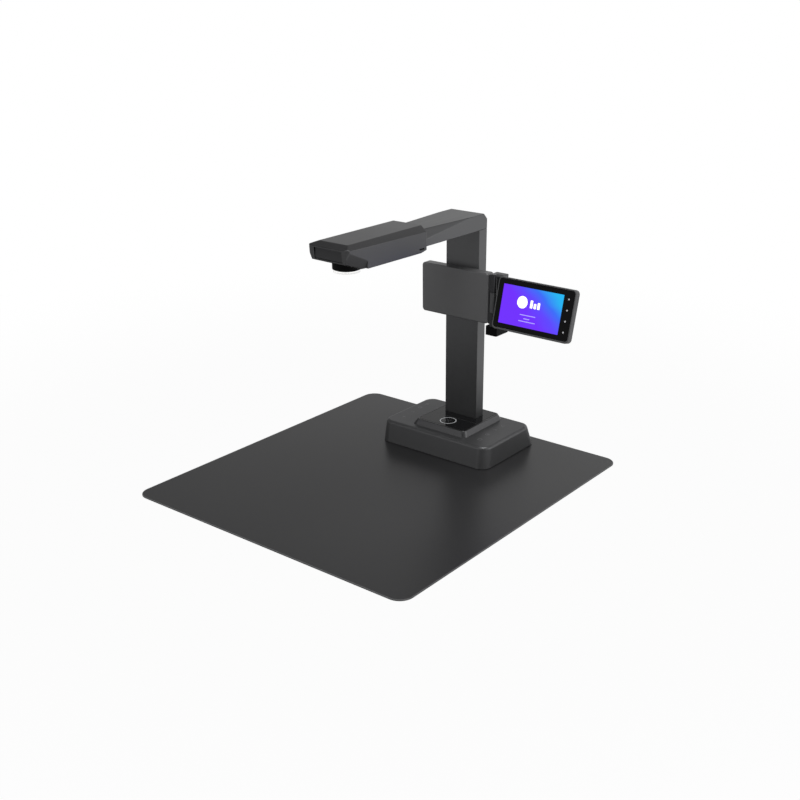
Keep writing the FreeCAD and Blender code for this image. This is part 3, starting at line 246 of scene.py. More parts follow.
def brushed(name, colour, roughness, stretch, metal=0.85, shine=0.5):
    """Anodised or drawn metal with hairlines along one direction."""
    material, graph = new_material(name)
    place = graph.place()
    lines = graph.noise(graph.mapped(place, stretch), scale=1.0, detail=3)
    mottle = graph.noise(place, scale=9)
    grain = graph.noise(place, scale=3200)
    graph.surface(
        Base_Color=graph.tinted(blend(lines, mottle, share=0.6), colour, spread=0.08),
        Roughness=roughness + lines.swing(reach=0.12) + grain.swing(reach=0.06),
        Metallic=metal, Specular_IOR_Level=shine,
        Normal=graph.bump(blend(lines, grain, share=0.7), strength=0.06, depth=0.1 * MM))
    return material


SMEAR_STRETCH = (1, 2.4, 1)
SMEAR_TURN = (0, 0, 0.6)
DUST_SIZE = 0.08
DUST_SHARE = 0.25
DUST_COLOUR = (0.12, 0.12, 0.12)


def polished(name, colour, roughness, smears=0.1, shine=0.3):
    """Glossy black plastic or printed glass, with faint smears and dust."""
    material, graph = new_material(name)
    place = graph.place()
    smear = graph.noise(graph.mapped(place, SMEAR_STRETCH, SMEAR_TURN), scale=38, detail=4)
    dust = graph.cells(place, scale=700) < DUST_SIZE
    graph.surface(
        Base_Color=graph.shade(dust * DUST_SHARE, colour, DUST_COLOUR),
        Roughness=roughness + (smear ** 2) * smears,
        Specular_IOR_Level=shine,
        Normal=graph.bump(smear, strength=0.01, depth=0.1 * MM))
    return material


MAT_CLOUD_SHARE = 0.2
# How strongly the painted highlight line shows along the mat's rim.
MAT_RIM_HIGHLIGHT_SHARE = 0.6


def mat_finish(look):
    """Fine-grained charcoal sheet with a painted highlight line round its rim."""
    material, graph = new_material("mat_charcoal")
    place = graph.place()
    low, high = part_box("mat")
    across, along = graph.parts(place)[:2]
    straight_x = (high.x - low.x) / 2 - look.mat_corner
    straight_y = (high.y - low.y) / 2 - look.mat_corner
    reach = distance((across.size() - straight_x).at_least(0),
                     (along.size() - straight_y).at_least(0)) - look.mat_corner
    # Painted highlight: a pale line along the rim stands in for the light that the mat's edge
    # catches.
    rim = reach > -look.mat_rim_highlight
    grain = graph.noise(place, scale=1500, detail=3)
    weave = graph.cells(place, scale=900)
    cloud = graph.noise(place, scale=5)
    tone = graph.tinted(blend(grain, weave, share=0.7), look.mat_colour, spread=0.2)
    tone = graph.shade(cloud * MAT_CLOUD_SHARE, tone, scaled(look.mat_colour, factor=1.15))
    graph.surface(
        Base_Color=graph.shade(rim * MAT_RIM_HIGHLIGHT_SHARE, tone, look.rim_highlight_colour),
        Roughness=look.mat_roughness + grain.swing(reach=0.12),
        Specular_IOR_Level=0.45,
        Normal=graph.bump(blend(grain, weave, share=0.5), strength=0.1, depth=0.2 * MM))
    return material


def glow(name, colour, strength):
    """A lit, frosted plastic."""
    material, graph = new_material(name)
    cloud = graph.noise(graph.place(), scale=300)
    graph.surface(
        Base_Color=graph.shade(cloud, scaled(colour, factor=0.94), colour),
        Roughness=0.35 + cloud.swing(reach=0.1),
        Emission_Color=graph.shade(cloud, scaled(colour, factor=0.95), colour),
        Emission_Strength=strength)
    return material


NO_LIGHT = (0, 0, 0)


def lamp_finish(look):
    """A black lamp body with a lit milky lip."""
    material, graph = new_material("lamp_milk")
    place = graph.place()
    lip = graph.parts(place)[2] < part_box("lamp_diffuser")[0].z + look.lamp_lip
    cloud = graph.noise(place, scale=300)
    milk = graph.shade(cloud, scaled(look.lamp_colour, factor=0.94), look.lamp_colour)
    shell = (0.01, 0.01, 0.01)
    graph.surface(
        Base_Color=graph.shade(lip, shell, milk),
        Roughness=0.45 + cloud.swing(reach=0.1),
        Emission_Color=graph.shade(lip, NO_LIGHT, milk),
        Emission_Strength=look.lamp_glow)
    return material


def ring_finish(look):
    """A frosted ring that is lit only along a narrow band."""
    material, graph = new_material("ring_light")
    place = graph.place()
    low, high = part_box("ring_light_guide")
    across, along = graph.parts(place)[:2]
    radius = distance(across - (low.x + high.x) / 2, along - (low.y + high.y) / 2)
    middle = (high.x - low.x) / 2 - look.ring_inset
    band = (radius - middle).size() < look.ring_band / 2
    cloud = graph.noise(place, scale=400)
    tone = graph.shade(cloud, scaled(look.ring_colour, factor=0.85), look.ring_colour)
    dark = (0.01, 0.01, 0.011)
    graph.surface(
        Base_Color=graph.shade(band, dark, tone),
        Roughness=0.3 + cloud * 0.1,
        Emission_Color=graph.shade(band, NO_LIGHT, tone),
        Emission_Strength=look.ring_strength)
    return material


# The picture's colours run along this slant, from this start and with these stops.
FIELD_SIDEWAYS = 1.15
FIELD_UPWARDS = 0.82
FIELD_START = 0.85
FIELD_STOPS = (0.0, 0.3, 0.6, 0.95)


def screen_finish(look):
    """The lit picture: a soft field from violet at the left to cyan at the upper right."""
    material, graph = new_material("screen_light")
    place = graph.add("ShaderNodeUVMap", {"uv_map": "UVMap"})
    sideways, upwards = graph.parts(place)[:2]
    wave = graph.noise(place, scale=2.2, detail=1)
    across = (sideways * FIELD_SIDEWAYS + upwards * FIELD_UPWARDS + wave.swing(reach=0.3)
              - FIELD_START)
    colours = (look.screen_left, look.screen_middle, look.screen_blue, look.screen_right)
    field = graph.add("ShaderNodeValToRGB", {"stops": list(zip(FIELD_STOPS, colours))},
                      {"Fac": across})
    graph.surface(Base_Color=(0.01, 0.01, 0.012), Roughness=0.12,
                  Emission_Color=field, Emission_Strength=look.screen_strength,
                  Specular_IOR_Level=0.2)
    return material


PAD_SIZE = 0.12
TRACK_SHARE = 0.6
MASK_GREEN = (0.012, 0.09, 0.035)
TRACK_GREEN = (0.03, 0.2, 0.08)


def board_finish():
    """Green solder mask over copper tracks."""
    material, graph = new_material("board_mask")
    place = graph.place()
    tracks = graph.add("ShaderNodeTexBrick", {"offset": 0.35},
                       {"Vector": place, "Scale": 140, "Mortar Size": 0.03}, output="Fac")
    pads = graph.cells(place, scale=260) < PAD_SIZE
    graph.surface(
        Base_Color=graph.shade(tracks * TRACK_SHARE, MASK_GREEN, TRACK_GREEN),
        Metallic=pads * 0.8, Roughness=0.35 + tracks * 0.1,
        Normal=graph.bump(tracks, strength=0.2, depth=0.1 * MM))
    return material


LENS_DARK = (0.01, 0.008, 0.03)
LENS_SHEEN = (0.03, 0.015, 0.07)


def lens_finish():
    """Coated lens glass: nearly black, with a violet sheen that turns across it."""
    material, graph = new_material("coated_lens")
    rings = graph.noise(graph.place(), scale=60, detail=1)
    graph.surface(
        Base_Color=graph.shade(rings, LENS_DARK, LENS_SHEEN),
        Roughness=0.04 + rings * 0.03, Coat_Weight=1.0, Coat_Roughness=0.02)
    return material


def cast(name, colour, roughness):
    """Sand- or die-cast metal, slightly uneven."""
    material, graph = new_material(name)
    lumps = graph.noise(graph.place(), scale=600, detail=4)
    graph.surface(
        Base_Color=graph.shade(lumps, scaled(colour, factor=0.85), scaled(colour, factor=1.1)),
        Roughness=roughness + lumps.swing(reach=0.2), Metallic=0.9,
        Normal=graph.bump(lumps, strength=0.3, depth=0.2 * MM))
    return material


# Stretches of the hairline pattern, in ripples per metre along each axis.
UPRIGHT = (900, 900, 6)
FORWARD = (900, 6, 900)
CROSSWISE = (6, 900, 900)
FINISHES = {}


def make_finishes(look):
    """Every finish of the scanner, by the slot or the piece that it covers."""
    def housing(name, colour, roughness, metal):
        return moulded(name, colour, roughness, grain=0.1, metal=metal, shine=0.25)

    def anodised(name, stretch):
        return brushed(name, look.metal_colour, look.metal_roughness, stretch,
                       metal=look.metal_share, shine=0.25)

    FINISHES.update(
        mat_surface=mat_finish(look),
        black_rubber=moulded("black_rubber", (0.02, 0.02, 0.02), roughness=0.75, grain=0.3,
                             pitch=1500),
        body_plastic=housing("body_grey", look.body_colour, look.body_roughness,
                             look.body_metal),
        head_satin=housing("head_satin", look.head_colour, look.head_roughness,
                           look.head_metal),
        bracket_satin=housing("bracket_satin", look.bracket_colour, look.head_roughness,
                              look.bracket_metal),
        plate_steel=moulded("powder_coat", (0.03, 0.03, 0.032), roughness=0.55, grain=0.35,
                            pitch=1300),
        screw_steel=brushed("blackened_steel", (0.2, 0.2, 0.21), roughness=0.34,
                            stretch=CROSSWISE),
        ballast_iron=cast("ballast_iron", (0.18, 0.18, 0.19), roughness=0.6),
        board_green=board_finish(),
        post_brass=brushed("post_brass", (0.6, 0.42, 0.16), roughness=0.3, stretch=CROSSWISE),
        black_plastic=moulded("black_plastic", (0.004, 0.004, 0.0045), roughness=0.55,
                              shine=0.08),
        socket_steel=brushed("socket_steel", (0.5, 0.5, 0.52), roughness=0.3, stretch=FORWARD),
        panel_gloss=polished("panel_black", (0.006, 0.006, 0.007), roughness=0.08,
                             shine=0.22),
        light_guide=ring_finish(look),
        arm_metal=anodised("column_anodised", UPRIGHT),
        arm_lengthways=anodised("arm_anodised", FORWARD),
        cast_aluminium=cast("cast_aluminium", (0.45, 0.45, 0.47), roughness=0.45),
        window_gloss=polished("smoked_window", (0.05, 0.05, 0.053), roughness=0.45,
                              smears=0.05),
        diffuser_white=lamp_finish(look),
        board_white=moulded("white_mask", (0.7, 0.7, 0.68), roughness=0.4, grain=0.05),
        lens_glass=lens_finish(),
        hinge_metal=brushed("satin_black_metal", (0.05, 0.05, 0.053), roughness=0.36,
                            stretch=UPRIGHT),
        cover_glass=polished("display_black", (0.002, 0.002, 0.0025), roughness=0.08,
                             smears=0.06, shine=0.08),
        screen_light=screen_finish(look),
        screen_white=glow("screen_white", (0.95, 0.96, 1.0), strength=1.0),
        screen_pale=glow("screen_pale", (0.35, 0.3, 0.95), strength=0.9),
        print_grey=moulded("print_grey", look.print_colour, roughness=0.5, grain=0.03),
        key_white=glow("key_white", (0.5, 0.51, 0.53), strength=0.4),
        glyph_grey=moulded("glyph_grey", (0.16, 0.165, 0.17), roughness=0.5, grain=0.03),
        line_grey=moulded("line_grey", (0.07, 0.07, 0.072), roughness=0.45, grain=0.03),
        # Painted shade: the flat black that stands in for the shaded openings of the display's
        # vent slots.
        recess_black=moulded("recess_black", (0.006, 0.006, 0.006), roughness=0.6,
                             grain=0.05),
        contact_gold=brushed("contact_gold", (0.75, 0.55, 0.25), roughness=0.25, stretch=FORWARD),
    )


# ---------------------------------------------------------------- pieces

def settle(piece, body, finish, slot, nodes=()):
    """Gives a piece its finish, its body and the nodes it stands for."""
    if finish is not None:
        piece.data.materials.clear()
        piece.data.materials.append(FINISHES[finish])
    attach(piece, body)
    if nodes:
        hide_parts(*nodes)
    return piece


def add_object(name, mesh):
    piece = bpy.data.objects.new(name, mesh)
    bpy.context.scene.collection.objects.link(piece)
    return piece


def baked(piece):
    """Applies every modifier of a piece."""
    bpy.context.view_layer.update()
    graph = bpy.context.evaluated_depsgraph_get()
    mesh = bpy.data.meshes.new_from_object(piece.evaluated_get(graph))
    piece.modifiers.clear()
    piece.data = mesh
    return piece


MERGE_DISTANCE = 0.001 * MM
# Faces that meet below this angle count as one flat face.
FLAT_ANGLE = math.radians(0.4)
# An edge is rounded from these angles on, between wide faces and beside a narrow one.
WIDE_FACE = 4 * MM
WIDE_EDGE_ANGLE = math.radians(12)
NARROW_EDGE_ANGLE = math.radians(24)
# A fold that stays unrounded is sharp from this angle on, between faces this wide.
CREASE_FACE = 2.5 * MM
CREASE_ANGLE = math.radians(8)
SMOOTH_ANGLE = math.radians(38)
# An edge is left sharp where a neighbour is shorter than this many roundings.
ROUNDING_ROOM = 1.05
BEVEL_STEPS = 3
# The far bridge of a hole is the one that reaches furthest, less this share of its length.
BRIDGE_LENGTH_SHARE = 0.3


def wider(edge, width):
    """Whether both faces at an edge are wider than this on average."""
    return min(face.calc_area() for face in edge.link_faces) > width * edge.calc_length()


def flat_regions(form, flat):
    """Groups of faces joined across the flat edges."""
    left = set(form.faces)
    while left:
        region = set()
        waiting = [left.pop()]
        while waiting:
            face = waiting.pop()
            region.add(face)
            for edge in face.edges:
                if edge in flat:
                    waiting.extend(left.intersection(edge.link_faces))
                    left.difference_update(edge.link_faces)
        yield region


def rim_numbers(region, flat):
    """The number of the closed rim that each outline point of a region is on."""
    rim = {edge for face in region for edge in face.edges if edge not in flat}
    number = {}
    for edge in rim:
        if edge.verts[0] in number:
            continue
        waiting = [edge.verts[0]]
        count = len(number)
        while waiting:
            vert = waiting.pop()
            if vert in number:
                continue
            number[vert] = count
            waiting.extend(other.other_vert(vert) for other in vert.link_edges if other in rim)
    return number


def mark_bridges(form, flat):
    """Marks two edges from each hole of a flat face, so that no face closes over a hole."""
    for region in flat_regions(form, flat):
        number = rim_numbers(region, flat)
        for rim in sorted(set(number.values())):
            spans = [edge for face in region for edge in face.edges
                     if edge in flat and all(vert in number for vert in edge.verts)
                     and sum(number[vert] == rim for vert in edge.verts) == 1]
            if not spans:
                continue
            near = min(spans, key=lambda edge: (edge.calc_length(), edge.index))
            start = next(vert for vert in near.verts if number[vert] == rim)
            near.seam = True
            far = max(spans, key=lambda edge: (max(
                (vert.co - start.co).length for vert in edge.verts if number[vert] == rim)
                - edge.calc_length() * BRIDGE_LENGTH_SHARE, edge.index))
            far.seam = True


def soften(node, width, shortest=0.0, region=None):
    """A copy of a node with its outer edges rounded, which takes the node's place."""
    source = frame["nodes"][node]
    form = bmesh.new()
    form.from_mesh(source.data)
    bmesh.ops.remove_doubles(form, verts=form.verts, dist=MERGE_DISTANCE)
    form.edges.index_update()
    mark_bridges(form, {edge for edge in form.edges if len(edge.link_faces) == 2
                        and edge.calc_face_angle(0) < FLAT_ANGLE})
    bmesh.ops.dissolve_limit(form, angle_limit=FLAT_ANGLE, verts=form.verts,
                             edges=form.edges, delimit={"SEAM"})
    for edge in form.edges:
        edge.seam = False
    weights = form.edges.layers.float.new("bevel_weight_edge")
    chosen = set()
    if width > 0:
        for edge in form.edges:
            if len(edge.link_faces) != 2 or edge.calc_length() < shortest:
                continue
            least = WIDE_EDGE_ANGLE if wider(edge, WIDE_FACE) else NARROW_EDGE_ANGLE
            if edge.calc_face_angle_signed(0) < least:
                continue
            middle = (edge.verts[0].co + edge.verts[1].co) / 2
            if region is None or region(middle):
                chosen.add(edge)
        cramped = {edge for edge in chosen for vert in edge.verts for other in vert.link_edges
                   if other not in chosen and other.calc_length() < ROUNDING_ROOM * width}
        chosen -= cramped
    for edge in chosen:
        edge[weights] = 1.0
    for edge in form.edges:
        if edge not in chosen and len(edge.link_faces) == 2:
            edge.smooth = edge.calc_face_angle(0) < CREASE_ANGLE or not wider(edge, CREASE_FACE)
    mesh = bpy.data.meshes.new(node + "_form")
    form.to_mesh(mesh)
    form.free()
    piece = add_object("finished_" + node, mesh)
    if chosen:
        bevel = piece.modifiers.new("edge", "BEVEL")
        bevel.limit_method = "WEIGHT"
        bevel.width = width
        bevel.segments = BEVEL_STEPS
        bevel.use_clamp_overlap = False
        baked(piece)
    creases = [edge.index for edge in piece.data.edges if edge.use_edge_sharp]
    piece.data.shade_smooth()
    piece.data.set_sharp_from_angle(angle=SMOOTH_ANGLE)
    for index in creases:
        piece.data.edges[index].use_edge_sharp = True
    even = piece.modifiers.new("even", "WEIGHTED_NORMAL")
    even.keep_sharp = True
    baked(piece)
    piece.data.materials.clear()
    return piece


def island_points(node):
    """The points of each of a node's separate solids."""
    form = bmesh.new()
    form.from_mesh(frame["nodes"][node].data)
    bmesh.ops.remove_doubles(form, verts=form.verts, dist=MERGE_DISTANCE)
    seen = set()
    groups = []
    for first in form.verts:
        if first in seen:
            continue
        seen.add(first)
        island = [first]
        for vert in island:
            for edge in vert.link_edges:
                other = edge.other_vert(vert)
                if other not in seen:
                    seen.add(other)
                    island.append(other)
        groups.append([vert.co.copy() for vert in island])
    form.free()
    return groups


def disc_outline(centre, radius, count=48):
    return [(centre[0] + radius * math.cos(2 * math.pi * i / count),
             centre[1] + radius * math.sin(2 * math.pi * i / count)) for i in range(count)]


def rounded_outline(centre, width, height, radius, steps=8):
    points = []
    for quarter, (side_x, side_y) in enumerate(((1, 1), (-1, 1), (-1, -1), (1, -1))):
        for i in range(steps + 1):
            angle = math.pi / 2 * (quarter + i / steps)
            points.append((centre[0] + side_x * (width / 2 - radius) + radius * math.cos(angle),
                           centre[1] + side_y * (height / 2 - radius) + radius * math.sin(angle)))
    return points


def stroke_outline(start, end, width, steps=6):
    """A bar with round ends."""
    run = Vector(end) - Vector(start)
    heading = math.atan2(run.y, run.x)
    points = []
    for centre, turn in ((end, -math.pi / 2), (start, math.pi / 2)):
        for i in range(steps + 1):
            angle = heading + turn + math.pi * i / steps
            points.append((centre[0] + width / 2 * math.cos(angle),
                           centre[1] + width / 2 * math.sin(angle)))
    return points


def add_slab(form, outline, low, high):
    """A closed solid over an outline, between two heights."""
    bottom = [form.verts.new((x, y, low)) for x, y in outline]
    top = [form.verts.new((x, y, high)) for x, y in outline]
    form.faces.new(bottom[::-1])
    form.faces.new(top)
    for i in range(len(outline)):
        j = (i + 1) % len(outline)
        form.faces.new((bottom[i], bottom[j], top[j], top[i]))


def add_ring(form, outer, inner, low, high):
    """A closed ring between two outlines with as many points each."""
    loops = [[form.verts.new((x, y, z)) for x, y in outline]
             for outline, z in ((outer, low), (outer, high), (inner, high), (inner, low))]
    for k in range(4):
        first, second = loops[k], loops[(k + 1) % 4]
        for i in range(len(outer)):
            j = (i + 1) % len(outer)
            form.faces.new((first[i], first[j], second[j], second[i]))


def flat_piece(name, placing, slabs=(), rings=(), low=0.0, high=0.05 * MM):
    """Thin printed or lit shapes on a surface, in that surface's own frame."""
    form = bmesh.new()
    for outline in slabs:
        add_slab(form, outline, low, high)
    for outer, inner in rings:
        add_ring(form, outer, inner, low, high)
    bmesh.ops.transform(form, matrix=placing, verts=form.verts)
    mesh = bpy.data.meshes.new(name)
    form.to_mesh(mesh)
    form.free()
    return add_object(name, mesh)


def display_frame():
    """The display's own frame: right, up and outwards, from the middle of its glass."""
    mesh = frame["nodes"]["display_glass"].data
    face = max(mesh.polygons, key=lambda polygon: polygon.area * (polygon.normal.y < 0))
    outward = face.normal.normalized()
    right = Vector((1, 0, 0))
    upward = outward.cross(right)
    points = [vert.co for vert in mesh.vertices]
    level = max(point.dot(outward) for point in points)
    tall = [point.dot(upward) for point in points]
    wide = [point.x for point in points]
    middle = (right * (min(wide) + max(wide)) / 2 + upward * (min(tall) + max(tall)) / 2
              + outward * level)
    placing = Matrix.Identity(4)
    for i, axis in enumerate((right, upward, outward, middle)):
        for j in range(3):
            placing[j][i] = axis[j]
    return placing


# ---------------------------------------------------------------- repeated shapes

class NodeTree:
    """A Geometry Nodes tree with named inputs."""

    def __init__(self, name):
        self.tree = bpy.data.node_groups.new(name, "GeometryNodeTree")
        self.tree.interface.new_socket("Geometry", in_out="INPUT",
                                       socket_type="NodeSocketGeometry")
        self.tree.interface.new_socket("Geometry", in_out="OUTPUT",
                                       socket_type="NodeSocketGeometry")
        self.source = None
        self.names = {}

    def input(self, name, kind, default=None):
        socket = self.tree.interface.new_socket(name, in_out="INPUT", socket_type=kind)
        if default is not None:
            socket.default_value = default
        self.names[name] = socket.identifier

    def start(self):
        self.source = self.tree.nodes.new("NodeGroupInput")

    def given(self, name):
        return self.source.outputs[name]

    def add(self, kind, settings=None, inputs=None, output=0):
        node = self.tree.nodes.new(kind)
        for name, value in (settings or {}).items():
            setattr(node, name, value)
        for name, value in (inputs or {}).items():
            if isinstance(value, bpy.types.NodeSocket):
                self.tree.links.new(value, node.inputs[name])
            elif isinstance(value, list):
                for item in value:
                    self.tree.links.new(item, node.inputs[name])
            else:
                node.inputs[name].default_value = value
        return node.outputs[output]

    def finish(self, geometry):
        realized = self.add("GeometryNodeRealizeInstances", None, {"Geometry": geometry})
        painted = self.add("GeometryNodeSetMaterial", None,
                           {"Geometry": realized, "Material": self.given("Finish")})
        end = self.tree.nodes.new("NodeGroupOutput")
        self.tree.links.new(painted, end.inputs[0])

    def run(self, name, points, values):
        """The tree's result on a set of points, as a plain mesh object."""
        mesh = bpy.data.meshes.new(name)
        mesh.from_pydata([tuple(point) for point in points], [], [])
        piece = add_object(name, mesh)
        modifier = piece.modifiers.new("repeat", "NODES")
        modifier.node_group = self.tree
        for label, value in values.items():
            modifier[self.names[label]] = value
        return baked(piece)


# Sides of a screw's head and shank, and the cross recess's reach in radii of the head.
HEAD_SIDES = 40
SHANK_SIDES = 24
RECESS_REACH = 1.25
END_SIDES = 8
# Just under half the width, so that the straight sides keep some length.
END_ROUNDING = 0.499
JOIN_DISTANCE = 1e-7


def screw_tree():
    """A screw with a cross recess at each point: its head sits at the point, its shank below."""
    tree = NodeTree("cross_screws")
    for label in ("Head Radius", "Head Height", "Shank Radius", "Shank Length", "Slot Width",
                  "Slot Depth"):
        tree.input(label, "NodeSocketFloat")
    tree.input("Turn", "NodeSocketRotation")
    tree.input("Finish", "NodeSocketMaterial")
    tree.start()

    def times(socket, factor):
        return tree.add("ShaderNodeMath", {"operation": "MULTIPLY"}, {0: socket, 1: factor})

    def lowered(shape, socket):
        offset = tree.add("ShaderNodeCombineXYZ", None, {2: times(socket, -1.0)})
        return tree.add("GeometryNodeTransform", None, {"Geometry": shape, "Translation": offset})

    head = tree.add("GeometryNodeMeshCylinder", {"fill_type": "NGON"},
                    {"Vertices": HEAD_SIDES, "Radius": tree.given("Head Radius"),
                     "Depth": tree.given("Head Height")})
    head = lowered(head, times(tree.given("Head Height"), 0.5))
    reach = times(tree.given("Head Radius"), RECESS_REACH)
    slots = []
    for first, second in ((reach, tree.given("Slot Width")), (tree.given("Slot Width"), reach)):
        size = tree.add("ShaderNodeCombineXYZ", None,
                        {0: first, 1: second, 2: tree.given("Slot Depth")})
        slots.append(tree.add("GeometryNodeMeshCube", None, {"Size": size}))
    carved = tree.add("GeometryNodeMeshBoolean", {"operation": "DIFFERENCE", "solver": "EXACT"},
                      {"Mesh 1": head, "Mesh 2": slots})
    shank = tree.add("GeometryNodeMeshCylinder", {"fill_type": "NGON"},
                     {"Vertices": SHANK_SIDES, "Radius": tree.given("Shank Radius"),
                      "Depth": tree.given("Shank Length")})
    drop = tree.add("ShaderNodeMath", {"operation": "ADD"},
                    {0: times(tree.given("Shank Length"), 0.5), 1: tree.given("Head Height")})
    shank = lowered(shank, drop)
    screw = tree.add("GeometryNodeJoinGeometry", None, {"Geometry": [carved, shank]})
    placed = tree.add("GeometryNodeInstanceOnPoints", None,
                      {"Points": tree.given("Geometry"), "Instance": screw,
                       "Rotation": tree.given("Turn")})
    tree.finish(placed)
    return tree


def row_tree():
    """A row of rounded bars, evenly spaced from each point."""
    tree = NodeTree("bar_row")
    tree.input("Count", "NodeSocketInt", 4)
    tree.input("Step", "NodeSocketVector")
    for label in ("Length", "Width", "Height"):
        tree.input(label, "NodeSocketFloat")
    tree.input("Turn", "NodeSocketRotation")
    tree.input("Finish", "NodeSocketMaterial")
    tree.start()
    outline = tree.add("GeometryNodeCurvePrimitiveQuadrilateral", None,
                       {"Width": tree.given("Length"), "Height": tree.given("Width")})
    corner = tree.add("ShaderNodeMath", {"operation": "MULTIPLY"},
                      {0: tree.given("Width"), 1: END_ROUNDING})
    outline = tree.add("GeometryNodeFilletCurve", {"mode": "POLY"},
                       {"Curve": outline, "Count": END_SIDES, "Radius": corner})
    sheet = tree.add("GeometryNodeFillCurve", {"mode": "NGONS"}, {"Curve": outline})
    rise = tree.add("ShaderNodeCombineXYZ", None, {2: tree.given("Height")})
    walls = tree.add("GeometryNodeExtrudeMesh", None,
                     {"Mesh": sheet, "Offset": rise, "Individual": False})
    floor = tree.add("GeometryNodeFlipFaces", None, {"Mesh": sheet})
    bar = tree.add("GeometryNodeJoinGeometry", None, {"Geometry": [walls, floor]})
    bar = tree.add("GeometryNodeMergeByDistance", None,
                   {"Geometry": bar, "Distance": JOIN_DISTANCE})
    line = tree.add("GeometryNodeMeshLine", {"mode": "OFFSET"},
                    {"Count": tree.given("Count"), "Offset": tree.given("Step")})
    rows = tree.add("GeometryNodeInstanceOnPoints", None,
                    {"Points": tree.given("Geometry"), "Instance": line})
    rows = tree.add("GeometryNodeRealizeInstances", None, {"Geometry": rows})
    placed = tree.add("GeometryNodeInstanceOnPoints", None,
                      {"Points": rows, "Instance": bar, "Rotation": tree.given("Turn")})
    tree.finish(placed)
    return tree


# ---------------------------------------------------------------- settings

def colour_setting(name, description, default):
    return FloatVectorProperty(name=name, description=description, subtype="COLOR",
                               default=default)


def length_setting(name, description, default):
    return FloatProperty(name=name, description=description, unit="LENGTH", default=default)


def share_setting(name, description, default, least=0.0):
    return FloatProperty(name=name, description=description, default=default, min=least,
                         max=1)


def strength_setting(name, description, default):
    return FloatProperty(name=name, description=description, default=default, min=0)


def count_setting(name, description, default):
    return IntProperty(name=name, description=description, default=default, min=1)


class ScannerLook(bpy.types.PropertyGroup):
    """Colours and finishes of the scanner."""

    body_colour: colour_setting(
        "Body colour", "Moulded housings of the base and the display",
        default=(0.12, 0.121, 0.124))
    body_roughness: share_setting(
        "Body roughness", "How dull the housings are", default=0.42, least=0.05)
    body_metal: share_setting(
        "Body metal", "Share of metal flake in the housing paint", default=0.6)
    metal_colour: colour_setting(
        "Column colour", "Anodised column and arm", default=(0.12, 0.121, 0.124))
    metal_share: share_setting(
        "Column metal", "How metallic the column and arm look", default=0.8)
    metal_roughness: share_setting(
        "Column roughness", "How dull the column and arm are", default=0.36, least=0.05)
    mat_colour: colour_setting(
        "Mat colour", "Charcoal of the mat", default=(0.033, 0.033, 0.034))
    mat_roughness: share_setting(
        "Mat roughness", "How dull the mat is", default=0.32, least=0.05)
    head_colour: colour_setting(
        "Head colour", "Satin finish of the head", default=(0.095, 0.095, 0.098))
    head_roughness: share_setting(
        "Head roughness", "Gloss of the head and bracket", default=0.36, least=0.05)
    head_metal: share_setting("Head metal", "How metallic the head looks", default=0.88)
    bracket_colour: colour_setting(
        "Bracket colour", "Satin finish of the display bracket", default=(0.18, 0.18, 0.184))
    bracket_metal: share_setting("Bracket metal", "How metallic the bracket looks", default=0.3)
    # Colour of the painted highlight line round the mat's rim.
    rim_highlight_colour: colour_setting(
        "Mat rim colour", "Pale line round the mat's rim", default=(0.22, 0.22, 0.225))
    mat_corner: length_setting("Mat corner", "Radius of the mat's corners", default=20 * MM)
    # Width of the painted highlight line round the mat's rim.
    mat_rim_highlight: length_setting("Mat rim", "Width of the pale rim line", default=1.1 * MM)
    ring_colour: colour_setting(
        "Ring colour", "Light ring round the scan button", default=(0.42, 0.43, 0.44))
    ring_band: length_setting("Ring band", "Width of the lit band", default=1.5 * MM)
    ring_inset: length_setting(
        "Ring inset", "From the ring's rim to the middle of its lit band", default=1 * MM)
    ring_strength: strength_setting("Ring glow", "Light given by the ring", default=0.4)
    lamp_colour: colour_setting(
        "Lamp colour", "Milky lip of the lamp", default=(0.88, 0.88, 0.87))
    lamp_lip: length_setting("Lamp lip", "Height of the lit lip", default=3.2 * MM)
    lamp_glow: strength_setting("Lamp glow", "Light given by the lamp's diffuser", default=0.7)
    print_colour: colour_setting(
        "Print colour", "Touch icons printed on the base", default=(0.25, 0.25, 0.255))
    screen_left: colour_setting(
        "Screen left", "Picture colour at the lower left", default=(0.15, 0.015, 0.97))
    screen_middle: colour_setting(
        "Screen middle", "Picture colour left of the middle", default=(0.1, 0.05, 0.98))
    screen_blue: colour_setting(
        "Screen blue", "Picture colour right of the middle", default=(0.03, 0.14, 0.93))
    screen_right: colour_setting(
        "Screen right", "Picture colour at the upper right", default=(0.004, 0.45, 0.88))
    screen_strength: strength_setting(
        "Screen brightness", "Strength of the picture", default=1.0)


